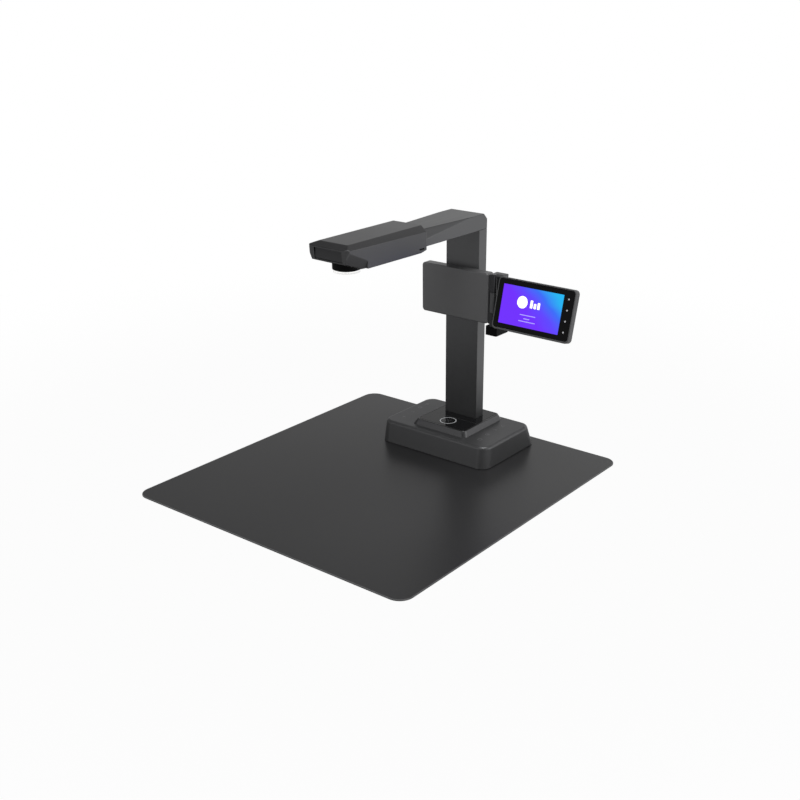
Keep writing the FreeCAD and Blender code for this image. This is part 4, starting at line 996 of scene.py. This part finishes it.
class ScannerSizes(bpy.types.PropertyGroup):
    """Sizes of the edges, the picture, the keys, the screws and the vents."""

    fine_edge: length_setting("Fine edge", "Edge rounding of small pieces", default=0.3 * MM)
    mat_edge: length_setting("Mat edge", "Edge rounding of the mat", default=0.5 * MM)
    body_edge: length_setting(
        "Body edge", "Edge rounding of head, arm and column", default=0.9 * MM)
    bracket_edge: length_setting(
        "Bracket edge", "Rounding of the bracket's front outline", default=1.7 * MM)
    screen_width: length_setting("Screen width", "Width of the lit picture", default=98 * MM)
    screen_height: length_setting(
        "Screen height", "Height of the lit picture", default=54.5 * MM)
    screen_inset: length_setting(
        "Screen inset", "Glass border left of the picture", default=8 * MM)
    print_height: length_setting(
        "Print height", "How far printed marks stand proud", default=0.04 * MM)
    key_count: count_setting("Display keys", "Touch dots beside the picture", default=4)
    key_step: length_setting("Key step", "Distance between the touch dots", default=15 * MM)
    key_radius: length_setting("Key radius", "Radius of a touch dot", default=1.2 * MM)
    icon_unit: length_setting("Icon size", "Half the size of a touch icon", default=2.8 * MM)
    print_line: length_setting("Print line", "Width of a printed line", default=0.6 * MM)
    slot_width: length_setting(
        "Screw slot", "Width of a screw's cross recess", default=0.75 * MM)
    slot_depth: length_setting(
        "Screw slot depth", "Depth of a screw's cross recess", default=1.1 * MM)
    panel_line_y: length_setting(
        "Panel line", "Where the line across the touch panel runs", default=160.3 * MM)
    boot_drop: length_setting(
        "Boot drop", "How far the boot hangs under the swing block", default=3.5 * MM)
    boot_height: length_setting(
        "Boot height", "Height of the boot at the swing block's foot", default=13 * MM)
    # The vent slots are painted shade: thin black slabs on the display's back, not openings.
    vent_count: count_setting("Vent slots", "Slots in the display's back", default=14)
    vent_step: length_setting("Vent step", "Distance from slot to slot", default=4 * MM)
    vent_length: length_setting("Vent length", "Length of a slot", default=12 * MM)
    vent_width: length_setting("Vent width", "Width of a slot", default=1.6 * MM)
    vent_start: length_setting(
        "Vent start", "First slot, from the display's middle", default=-8 * MM)
    vent_lift: length_setting(
        "Vent lift", "Height of the slots above the display's middle", default=14 * MM)


class ScannerStage(bpy.types.PropertyGroup):
    """Camera and light."""

    camera_place: FloatVectorProperty(
        name="Camera place", description="Where the camera stands", subtype="TRANSLATION",
        unit="LENGTH", default=(0.9296, -1.09699, 0.67047))
    camera_azimuth: FloatProperty(
        name="Camera azimuth", description="Turn of the camera about the vertical",
        subtype="ANGLE", default=math.radians(37.67))
    camera_drop: FloatProperty(
        name="Camera drop", description="How far the camera looks down", subtype="ANGLE",
        default=math.radians(26.18))
    camera_lens: FloatProperty(
        name="Lens", description="Focal length in millimetres on a 36 mm sensor",
        default=49.25)
    camera_shift: FloatVectorProperty(
        name="Shift", description="Sideways and upward shift of the lens", size=2,
        default=(-0.0375, 0.125))
    ambient: strength_setting("Ambient", "Light from all round", default=0.12)
    top_power: strength_setting(
        "Top light", "Power of the softbox above, in watts", default=32.0)
    side_power: strength_setting(
        "Side light", "Power of the softbox at the right, in watts", default=4.0)
    front_power: strength_setting(
        "Front light", "Power of the soft fill in front, in watts", default=6.0)
    floor_gleam: share_setting(
        "Floor gleam", "How white the floor in front is in reflections", default=0.2)
    floor_colour: colour_setting("Floor colour", "Pale floor", default=(0.5, 0.5, 0.5))


# ---------------------------------------------------------------- operators

def replace_node(node, finish=None, width=0.0, shortest=0.0, region=None):
    """Puts a rounded copy in a node's place, in its own finish or in another."""
    piece = soften(node, width, shortest, region)
    return settle(piece, BODY_OF[node], finish or SLOT_OF[node], SLOT_OF[node], [node])


def replace_fine(sizes, *nodes):
    """Puts copies with finely rounded edges in the place of small nodes."""
    for node in nodes:
        replace_node(node, width=sizes.fine_edge)


class SCANNER_OT_finishes(bpy.types.Operator):
    """Make the finishes and give every node its own"""

    bl_idname = "scanner.finishes"
    bl_label = "Finishes"

    def execute(self, context):
        make_finishes(context.scene.scanner_look)
        for name, node in frame["nodes"].items():
            for place in node.material_slots:
                place.link = "OBJECT"
                place.material = FINISHES[SLOT_OF[name]]
        return {"FINISHED"}


class SCANNER_OT_mat(bpy.types.Operator):
    """Round the mat's rim and give the mat its grain"""

    bl_idname = "scanner.mat"
    bl_label = "Mat"

    def execute(self, context):
        replace_node("mat", width=context.scene.scanner_sizes.mat_edge)
        return {"FINISHED"}


# Heights above the base's top below which the plinth and the button stay square.
PLINTH_FOOT = 1 * MM
BUTTON_STEM = 5 * MM


class SCANNER_OT_base(bpy.types.Operator):
    """Finish the base, its plinth, touch panel, light ring and button"""

    bl_idname = "scanner.base"
    bl_label = "Base and touch panel"

    def execute(self, context):
        sizes = context.scene.scanner_sizes
        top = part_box("base_shell")[1].z
        replace_node("base_shell")
        replace_node("plinth_housing", "head_satin", width=sizes.fine_edge * 2,
                     region=lambda point: point.z > top + PLINTH_FOOT)
        replace_fine(sizes, "touch_panel", "ring_light_guide")
        replace_node("scan_button", width=sizes.fine_edge,
                     region=lambda point: point.z > top + BUTTON_STEM)
        replace_fine(sizes, "rubber_feet", "base_plate")
        return {"FINISHED"}


# Edges shorter than these belong to cut-outs and joins, and stay square.
COLUMN_EDGE = 50 * MM
ARM_EDGE = 6 * MM
HEAD_EDGE = 2.4 * MM
BLOCK_EDGE = 10 * MM


class SCANNER_OT_column(bpy.types.Operator):
    """Finish the column and the arm"""

    bl_idname = "scanner.column"
    bl_label = "Column and arm"

    def execute(self, context):
        sizes = context.scene.scanner_sizes
        replace_node("column_tube", width=sizes.body_edge, shortest=COLUMN_EDGE)
        replace_node("arm_shell", "arm_lengthways", width=sizes.body_edge, shortest=ARM_EDGE)
        replace_fine(sizes, "arm_cover")
        return {"FINISHED"}


class SCANNER_OT_head(bpy.types.Operator):
    """Finish the camera head, its window, lens and lamp"""

    bl_idname = "scanner.head"
    bl_label = "Camera head"

    def execute(self, context):
        sizes = context.scene.scanner_sizes
        replace_node("head_shell", "head_satin", width=sizes.body_edge, shortest=HEAD_EDGE)
        replace_node("head_cover", "head_satin", width=sizes.fine_edge)
        replace_fine(sizes, "front_window", "lens_hood", "lamp_diffuser", "lens_barrel")
        return {"FINISHED"}


BRACKET_FACE = 1 * MM
# From the swing block's near and far corners to the boot's.
BOOT_NEAR = Vector((2, 1, 0)) * MM
BOOT_FAR = Vector((1.5, 1.5, 0)) * MM
BOOT_CORNER = 2 * MM


class SCANNER_OT_bracket(bpy.types.Operator):
    """Finish the bracket, the hinge and the swing block"""

    bl_idname = "scanner.bracket"
    bl_label = "Bracket and hinge"

    def execute(self, context):
        sizes = context.scene.scanner_sizes
        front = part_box("bracket_cover")[0].y
        replace_node("bracket_cover", "bracket_satin", width=sizes.bracket_edge,
                     region=lambda point: point.y < front + BRACKET_FACE)
        replace_fine(sizes, "bracket_plate", "hinge_leaf", "hinge_pin")
        replace_node("swing_block", width=sizes.fine_edge * 2, shortest=BLOCK_EDGE)
        replace_fine(sizes, "swing_cover", "tilt_shaft")
        low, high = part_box("swing_block")
        near = Vector(low) + BOOT_NEAR
        far = Vector(high) + BOOT_FAR
        outline = rounded_outline((near + far) / 2, far.x - near.x, far.y - near.y,
                                  BOOT_CORNER)
        bottom = low.z - sizes.boot_drop
        boot = flat_piece("swing_boot", Matrix(), [outline], low=bottom,
                          high=bottom + sizes.boot_height)
        settle(boot, "swing_arm", "black_plastic", "black_plastic")
        return {"FINISHED"}


BEZEL_FACE = 0.5 * MM
PICTURE_CORNER = 0.6 * MM
# The picture's marks, in shares of its width and height from its lower left corner. Heights
# and the disc's radius are shares of its height, lengths and a bar's width of its width.
DISC_MIDDLE = (0.35, 0.62)
DISC_RADIUS = 0.155
BARS = ((0.505, 0.2), (0.565, 0.13), (0.625, 0.17))
BAR_FOOT = 0.51
BAR_WIDTH = 0.042
BAR_CORNER = 0.011
CAPTIONS = ((0.47, 0.31, 0.26), (0.46, 0.22, 0.1), (0.47, 0.15, 0.28))
CAPTION_HEIGHT = 0.022
CAPTION_CORNER = 0.01


class SCANNER_OT_display(bpy.types.Operator):
    """Finish the display: housing, glass, lit picture, touch dots and vent slots of painted shade
    """

    bl_idname = "scanner.display"
    bl_label = "Display"

    def execute(self, context):
        sizes = context.scene.scanner_sizes
        placing = display_frame()
        right, upward, outward, centre = (column.to_3d() for column in placing.col)
        level = centre.dot(outward)
        replace_fine(sizes, "display_housing")
        replace_node("display_bezel", width=sizes.fine_edge * 2,
                     region=lambda point: point.dot(outward) > level - BEZEL_FACE)
        replace_fine(sizes, "display_glass", "display_mount")

        low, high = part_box("display_glass")
        half_glass = (high.x - low.x) / 2
        wide, tall = sizes.screen_width, sizes.screen_height
        middle = sizes.screen_inset + wide / 2 - half_glass
        lift = sizes.print_height
        screen = flat_piece("screen_picture", placing,
                            [rounded_outline((middle, 0), wide, tall, PICTURE_CORNER)],
                            high=lift)
        flat = placing.inverted()
        layer = screen.data.uv_layers.new(name="UVMap")
        for loop in screen.data.loops:
            point = flat @ screen.data.vertices[loop.vertex_index].co
            layer.data[loop.index].uv = ((point.x - middle) / wide + 0.5, point.y / tall + 0.5)
        settle(screen, "display", "screen_light", "cover_glass")

        def spot(u, v):
            return (middle + (u - 0.5) * wide, (v - 0.5) * tall)

        shapes = [disc_outline(spot(*DISC_MIDDLE), DISC_RADIUS * tall)]
        shapes += [rounded_outline(spot(u, BAR_FOOT + height / 2), BAR_WIDTH * wide,
                                   height * tall, BAR_CORNER * wide) for u, height in BARS]
        lines = [rounded_outline(spot(u, v), length * wide, CAPTION_HEIGHT * tall,
                                 CAPTION_CORNER * tall) for u, v, length in CAPTIONS]
        for name, outlines, finish in (("screen_marks", shapes, "screen_white"),
                                       ("screen_captions", lines, "screen_pale")):
            marks = flat_piece(name, placing, outlines, low=lift, high=lift * 2)
            settle(marks, "display", finish, "cover_glass")

        beside = (half_glass + middle + wide / 2) / 2
        first = placing @ Vector((beside, sizes.key_step * (sizes.key_count - 1) / 2, 0))
        dots = row_tree().run("display_keys", [first], {
            "Count": sizes.key_count, "Step": tuple(upward * -sizes.key_step),
            "Length": sizes.key_radius * 2, "Width": sizes.key_radius * 2,
            "Height": lift, "Turn": tuple(placing.to_euler()),
            "Finish": FINISHES["key_white"]})
        settle(dots, "display", None, "cover_glass")

        # Painted shade: thin black slabs on the display's back stand in for the shaded openings
        # of its vent slots.
        housing = frame["nodes"]["display_housing"].data
        rear = min(vert.co.dot(outward) for vert in housing.vertices)
        corner = (centre + outward * (rear - level) + right * sizes.vent_start
                  + upward * sizes.vent_lift)
        turned = Matrix((upward, right, -outward)).transposed()
        vents = row_tree().run("display_vents", [corner], {
            "Count": sizes.vent_count, "Step": tuple(right * sizes.vent_step),
            "Length": sizes.vent_length, "Width": sizes.vent_width, "Height": lift,
            "Turn": tuple(turned.to_euler()), "Finish": FINISHES["recess_black"]})
        settle(vents, "display", None, "body_plastic")
        return {"FINISHED"}


# Each touch icon: whether it has a ring, its strokes in units of half its size, and where
# its middle is on the base's top, in millimetres.
ICONS = (
    (False, (((-1, 0), (1, 0)), ((0, -1), (0, 1))), (-71, 133)),
    (False, (((-1, 0), (1, 0)),), (-73, 157.5)),
    (True, (), (-75.5, 179)),
    (False, (((-1, -0.8), (1, -0.8)), ((-1, 0), (1, 0)), ((-1, 0.8), (1, 0.8))), (-75, 197)),
    (False, (((-1, -1), (-1, 1)), ((-1, 1), (1, 1)), ((1, 1), (1, -1)), ((1, -1), (-1, -1))),
     (75, 131)),
    (True, (((0, 0), (0, 0.6)), ((0, 0), (0.5, 0))), (73, 153)),
    (False, (((-1, -0.6), (0, 0.6)), ((0, 0.6), (1, -0.6))), (72, 175)),
    (False, (((-1, 0.6), (0, -0.6)), ((0, -0.6), (1, 0.6))), (72, 194.5)),
)
ICON_RING_SIDES = 36
# The button's mark: four corners about a dash.
CORNER_REACH = 3.6 * MM
CORNER_ARM = 1.6 * MM
DASH_REACH = 2 * MM
PANEL_MARGIN = 0.6 * MM
PANEL_STRIPE = 0.5 * MM


def icon_shapes(sizes):
    """The outlines of the icons' strokes, and the outer and inner ones of their rings."""
    unit, line = sizes.icon_unit, sizes.print_line
    slabs = []
    rings = []
    for ringed, strokes, place in ICONS:
        centre = Vector(place) * MM
        if ringed:
            rings.append([disc_outline(centre, unit + side * line / 2, ICON_RING_SIDES)
                          for side in (1, -1)])
        slabs += [stroke_outline(centre + Vector(start) * unit, centre + Vector(end) * unit,
                                 line) for start, end in strokes]
    return slabs, rings


def button_strokes(centre, line):
    """Four corners and a dash about the button's middle."""
    strokes = [stroke_outline(centre - Vector((DASH_REACH, 0)),
                              centre + Vector((DASH_REACH, 0)), line)]
    for side_x in (-1, 1):
        for side_y in (-1, 1):
            tip = centre + Vector((side_x, side_y)) * CORNER_REACH
            for arm in ((side_x, 0), (0, side_y)):
                strokes.append(stroke_outline(tip, tip - Vector(arm) * CORNER_ARM, line))
    return strokes


class SCANNER_OT_markings(bpy.types.Operator):
    """Print the touch icons, the mark on the scan button and the touch panel's line"""

    bl_idname = "scanner.markings"
    bl_label = "Printed marks"

    def execute(self, context):
        sizes = context.scene.scanner_sizes

        def printed(name, body, finish, slot, height, slabs, rings=()):
            piece = flat_piece(name, Matrix.Translation((0, 0, height)), slabs, rings,
                               high=sizes.print_height)
            settle(piece, body, finish, slot)

        printed("base_icons", "stand", "print_grey", "body_plastic",
                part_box("base_shell")[1].z, *icon_shapes(sizes))
        low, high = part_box("scan_button")
        centre = Vector(((low.x + high.x) / 2, (low.y + high.y) / 2))
        printed("button_mark", "button", "glyph_grey", "panel_gloss", high.z,
                button_strokes(centre, sizes.print_line))
        low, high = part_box("touch_panel")
        stripe = stroke_outline((low.x + PANEL_MARGIN, sizes.panel_line_y),
                                (high.x - PANEL_MARGIN, sizes.panel_line_y), PANEL_STRIPE)
        printed("panel_line", "stand", "line_grey", "panel_gloss", high.z, [stripe])
        return {"FINISHED"}


DOWNWARDS = (0, 0, -1)
# The screws and the way their heads face; None is the display's back.
SCREW_GROUPS = (
    ("base_screws", DOWNWARDS), ("arm_screws", DOWNWARDS), ("head_screws", DOWNWARDS),
    ("swing_screws", (0, 1, 0)), ("mount_screws", None),
)
SCREW_HEAD_RADIUS = 2.8 * MM
SCREW_HEAD_HEIGHT = 1.8 * MM
SCREW_SHANK_RADIUS = 1.5 * MM


class SCANNER_OT_screws(bpy.types.Operator):
    """Put cross-recessed screws in the place of the plain ones"""

    bl_idname = "scanner.screws"
    bl_label = "Screws"

    def execute(self, context):
        sizes = context.scene.scanner_sizes
        tree = screw_tree()
        placing = display_frame()
        for node, heading in SCREW_GROUPS:
            facing = Vector(heading) if heading else -placing.col[2].to_3d()
            turn = facing.to_track_quat("Z", "Y")
            upright = turn.to_matrix().inverted()
            places = []
            length = 0
            for points in island_points(node):
                across, along, up = zip(*(upright @ point for point in points))
                length = max(up) - min(up)
                top = Vector(((min(across) + max(across)) / 2,
                              (min(along) + max(along)) / 2, max(up)))
                places.append(upright.inverted() @ top)
            made = tree.run("crossed_" + node, places, {
                "Head Radius": SCREW_HEAD_RADIUS, "Head Height": SCREW_HEAD_HEIGHT,
                "Shank Radius": SCREW_SHANK_RADIUS,
                "Shank Length": length - SCREW_HEAD_HEIGHT,
                "Slot Width": sizes.slot_width, "Slot Depth": sizes.slot_depth * 2,
                "Turn": turn.to_euler(), "Finish": FINISHES["screw_steel"]})
            settle(made, BODY_OF[node], None, "screw_steel", [node])
        return {"FINISHED"}


CONTACT_COUNT = 8
CONTACT_STEP = 0.75 * MM
CONTACT_LENGTH = 1.8 * MM
CONTACT_WIDTH = 0.35 * MM
CONTACT_INSET = 1.9 * MM
# From the socket's top down to the upper face of its tongue.
TONGUE_DROP = 1.35 * MM


class SCANNER_OT_sockets(bpy.types.Operator):
    """Lay the contacts on the socket's tongue"""

    bl_idname = "scanner.sockets"
    bl_label = "Socket contacts"

    def execute(self, context):
        low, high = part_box("usb_socket")
        middle_y = (low.y + high.y) / 2
        start = Vector((low.x + CONTACT_INSET,
                        middle_y - CONTACT_STEP * (CONTACT_COUNT - 1) / 2,
                        high.z - TONGUE_DROP))
        made = row_tree().run("socket_contacts", [start], {
            "Count": CONTACT_COUNT, "Step": (0, CONTACT_STEP, 0), "Length": CONTACT_LENGTH,
            "Width": CONTACT_WIDTH, "Height": context.scene.scanner_sizes.print_height,
            "Turn": (0, 0, 0), "Finish": FINISHES["contact_gold"]})
        settle(made, "stand", None, "socket_steel")
        return {"FINISHED"}


# ---------------------------------------------------------------- stage

# How far the floor reaches each way, in metres, and how far it lies below the feet.
FLOOR_REACH = 12.0
FLOOR_GAP = 0.05 * MM
# The flat direction that leads away behind the scanner.
BACKWARDS = (0.63, 0.78)
# The point that the lamps are turned to.
AIM = Vector((0, 0.05, 0.15))
# Each softbox: its name, place and width in metres, and the setting with its power.
SOFTBOXES = (
    ("top_softbox", (0.3, -0.2, 2.4), 1.6, "top_power"),
    ("side_softbox", (1.6, 0.6, 0.8), 1.0, "side_power"),
    ("front_fill", (-0.7, -1.9, 0.7), 1.6, "front_power"),
)
SENSOR_WIDTH = 36  # in millimetres, as the camera takes it
CLIP_START = 10 * MM


def ray_kinds(graph):
    """Masks for what the camera sees straight on, and for mirrors and glass."""
    path = graph.tree.nodes.new("ShaderNodeLightPath")
    camera, glossy, through = (Wire(graph, path.outputs[name]) for name in (
        "Is Camera Ray", "Is Glossy Ray", "Is Transmission Ray"))
    return camera, glossy + through


def backwards(across, along):
    """How far behind the scanner a place or a direction lies."""
    return across * BACKWARDS[0] + along * BACKWARDS[1]


def lay_floor(stage):
    """A pale floor that is seen white, reflects darker near the mat and takes the shadow."""
    mesh = bpy.data.meshes.new("floor")
    corners = ((-1, -1), (1, -1), (1, 1), (-1, 1))
    mesh.from_pydata([(x * FLOOR_REACH, y * FLOOR_REACH, 0) for x, y in corners], [],
                     [(0, 1, 2, 3)])
    floor = add_object("floor", mesh)
    floor.location.z = -FLOOR_GAP
    material, graph = new_material("floor_white")
    camera_ray, mirror_ray = ray_kinds(graph)
    across, along = graph.parts(graph.place())[:2]
    away = distance(across, along)
    beyond = graph.ramp(away, start=0.36, end=0.5, low=0.05, high=1.0)
    far = graph.ramp(away, start=0.45, end=1.3, low=0.96, high=1.0)
    gleam = graph.ramp(backwards(across, along), start=-0.3, end=0.3, low=stage.floor_gleam,
                       high=1.0)
    matte = graph.add("ShaderNodeBsdfDiffuse", None, {"Color": tuple(stage.floor_colour)})
    white = graph.add("ShaderNodeEmission", None, {"Color": (1, 1, 1), "Strength": 1.0})
    mixed = graph.add("ShaderNodeMixShader", None,
                      {0: camera_ray * far + mirror_ray * gleam * beyond, 1: matte, 2: white})
    graph.add("ShaderNodeOutputMaterial", None, {"Surface": mixed})
    mesh.materials.append(material)


def light_sky(scene, stage):
    """A sky that is seen white, lights softly, and reflects brightest low at the back."""
    world = bpy.data.worlds.new("studio")
    world.use_nodes = True
    graph = Graph(world.node_tree)
    camera_ray, mirror_ray = ray_kinds(graph)
    across, along, height = graph.parts(graph.add("ShaderNodeTexCoord", output="Generated"))
    behind = graph.ramp(backwards(across, along), start=-0.5, end=0.85, low=0.2, high=1.0)
    above = graph.ramp(height, start=0.3, end=0.72, low=1.0, high=0.2)
    strength = (stage.ambient + camera_ray * (1 - stage.ambient)
                + mirror_ray * (behind * above - stage.ambient))
    sky = graph.add("ShaderNodeBackground", None, {"Color": (1, 1, 1), "Strength": strength})
    graph.add("ShaderNodeOutputWorld", None, {"Surface": sky})
    scene.world = world


def hang_softboxes(stage):
    """Square lamps above, at the right and in front, turned to the scanner."""
    for name, place, width, power in SOFTBOXES:
        lamp = bpy.data.lights.new(name, "AREA")
        lamp.shape = "SQUARE"
        lamp.size = width
        lamp.energy = getattr(stage, power)
        holder = add_object(name, lamp)
        holder.location = place
        holder.rotation_euler = (Vector(place) - AIM).to_track_quat("Z", "Y").to_euler()


def stand_camera(scene, stage):
    """The camera before the scanner's right front corner, above the mat."""
    lens = bpy.data.cameras.new("camera")
    lens.sensor_width = SENSOR_WIDTH
    lens.lens = stage.camera_lens
    lens.shift_x, lens.shift_y = stage.camera_shift
    lens.clip_start = CLIP_START
    camera = add_object("camera", lens)
    camera.location = stage.camera_place
    camera.rotation_euler = (math.pi / 2 - stage.camera_drop, 0, stage.camera_azimuth)
    scene.camera = camera


class SCANNER_OT_stage(bpy.types.Operator):
    """Set up the floor, the soft lights and the camera"""

    bl_idname = "scanner.stage"
    bl_label = "Stage"

    def execute(self, context):
        scene = context.scene
        stage = scene.scanner_stage
        scene.view_settings.view_transform = "Standard"
        lay_floor(stage)
        light_sky(scene, stage)
        hang_softboxes(stage)
        stand_camera(scene, stage)
        return {"FINISHED"}


class SCANNER_PT_panel(bpy.types.Panel):
    """Lists the scanner's settings and pieces"""

    bl_idname = "SCANNER_PT_panel"
    bl_label = "Book Scanner"
    bl_space_type = "VIEW_3D"
    bl_region_type = "UI"
    bl_category = "Book Scanner"

    def draw(self, context):
        layout = self.layout
        for group in (context.scene.scanner_look, context.scene.scanner_sizes,
                      context.scene.scanner_stage):
            box = layout.box()
            for name in group.__annotations__:
                box.prop(group, name)
        for operator in OPERATORS:
            layout.operator(operator.bl_idname)


OPERATORS = (SCANNER_OT_finishes, SCANNER_OT_mat, SCANNER_OT_base, SCANNER_OT_column,
             SCANNER_OT_head, SCANNER_OT_bracket, SCANNER_OT_display, SCANNER_OT_markings,
             SCANNER_OT_screws, SCANNER_OT_sockets, SCANNER_OT_stage)
CLASSES = (ScannerLook, ScannerSizes, ScannerStage, *OPERATORS, SCANNER_PT_panel)


def register():
    for kind in CLASSES:
        bpy.utils.register_class(kind)
    bpy.types.Scene.scanner_look = PointerProperty(type=ScannerLook)
    bpy.types.Scene.scanner_sizes = PointerProperty(type=ScannerSizes)
    bpy.types.Scene.scanner_stage = PointerProperty(type=ScannerStage)


def unregister():
    del bpy.types.Scene.scanner_look
    del bpy.types.Scene.scanner_sizes
    del bpy.types.Scene.scanner_stage
    for kind in reversed(CLASSES):
        bpy.utils.unregister_class(kind)


def main():
    register()
    bpy.ops.scanner.finishes()
    bpy.ops.scanner.mat()
    bpy.ops.scanner.base()
    bpy.ops.scanner.column()
    bpy.ops.scanner.head()
    bpy.ops.scanner.bracket()
    bpy.ops.scanner.display()
    bpy.ops.scanner.markings()
    bpy.ops.scanner.screws()
    bpy.ops.scanner.sockets()
    bpy.ops.scanner.stage()


if __name__ == "__main__":
    main()
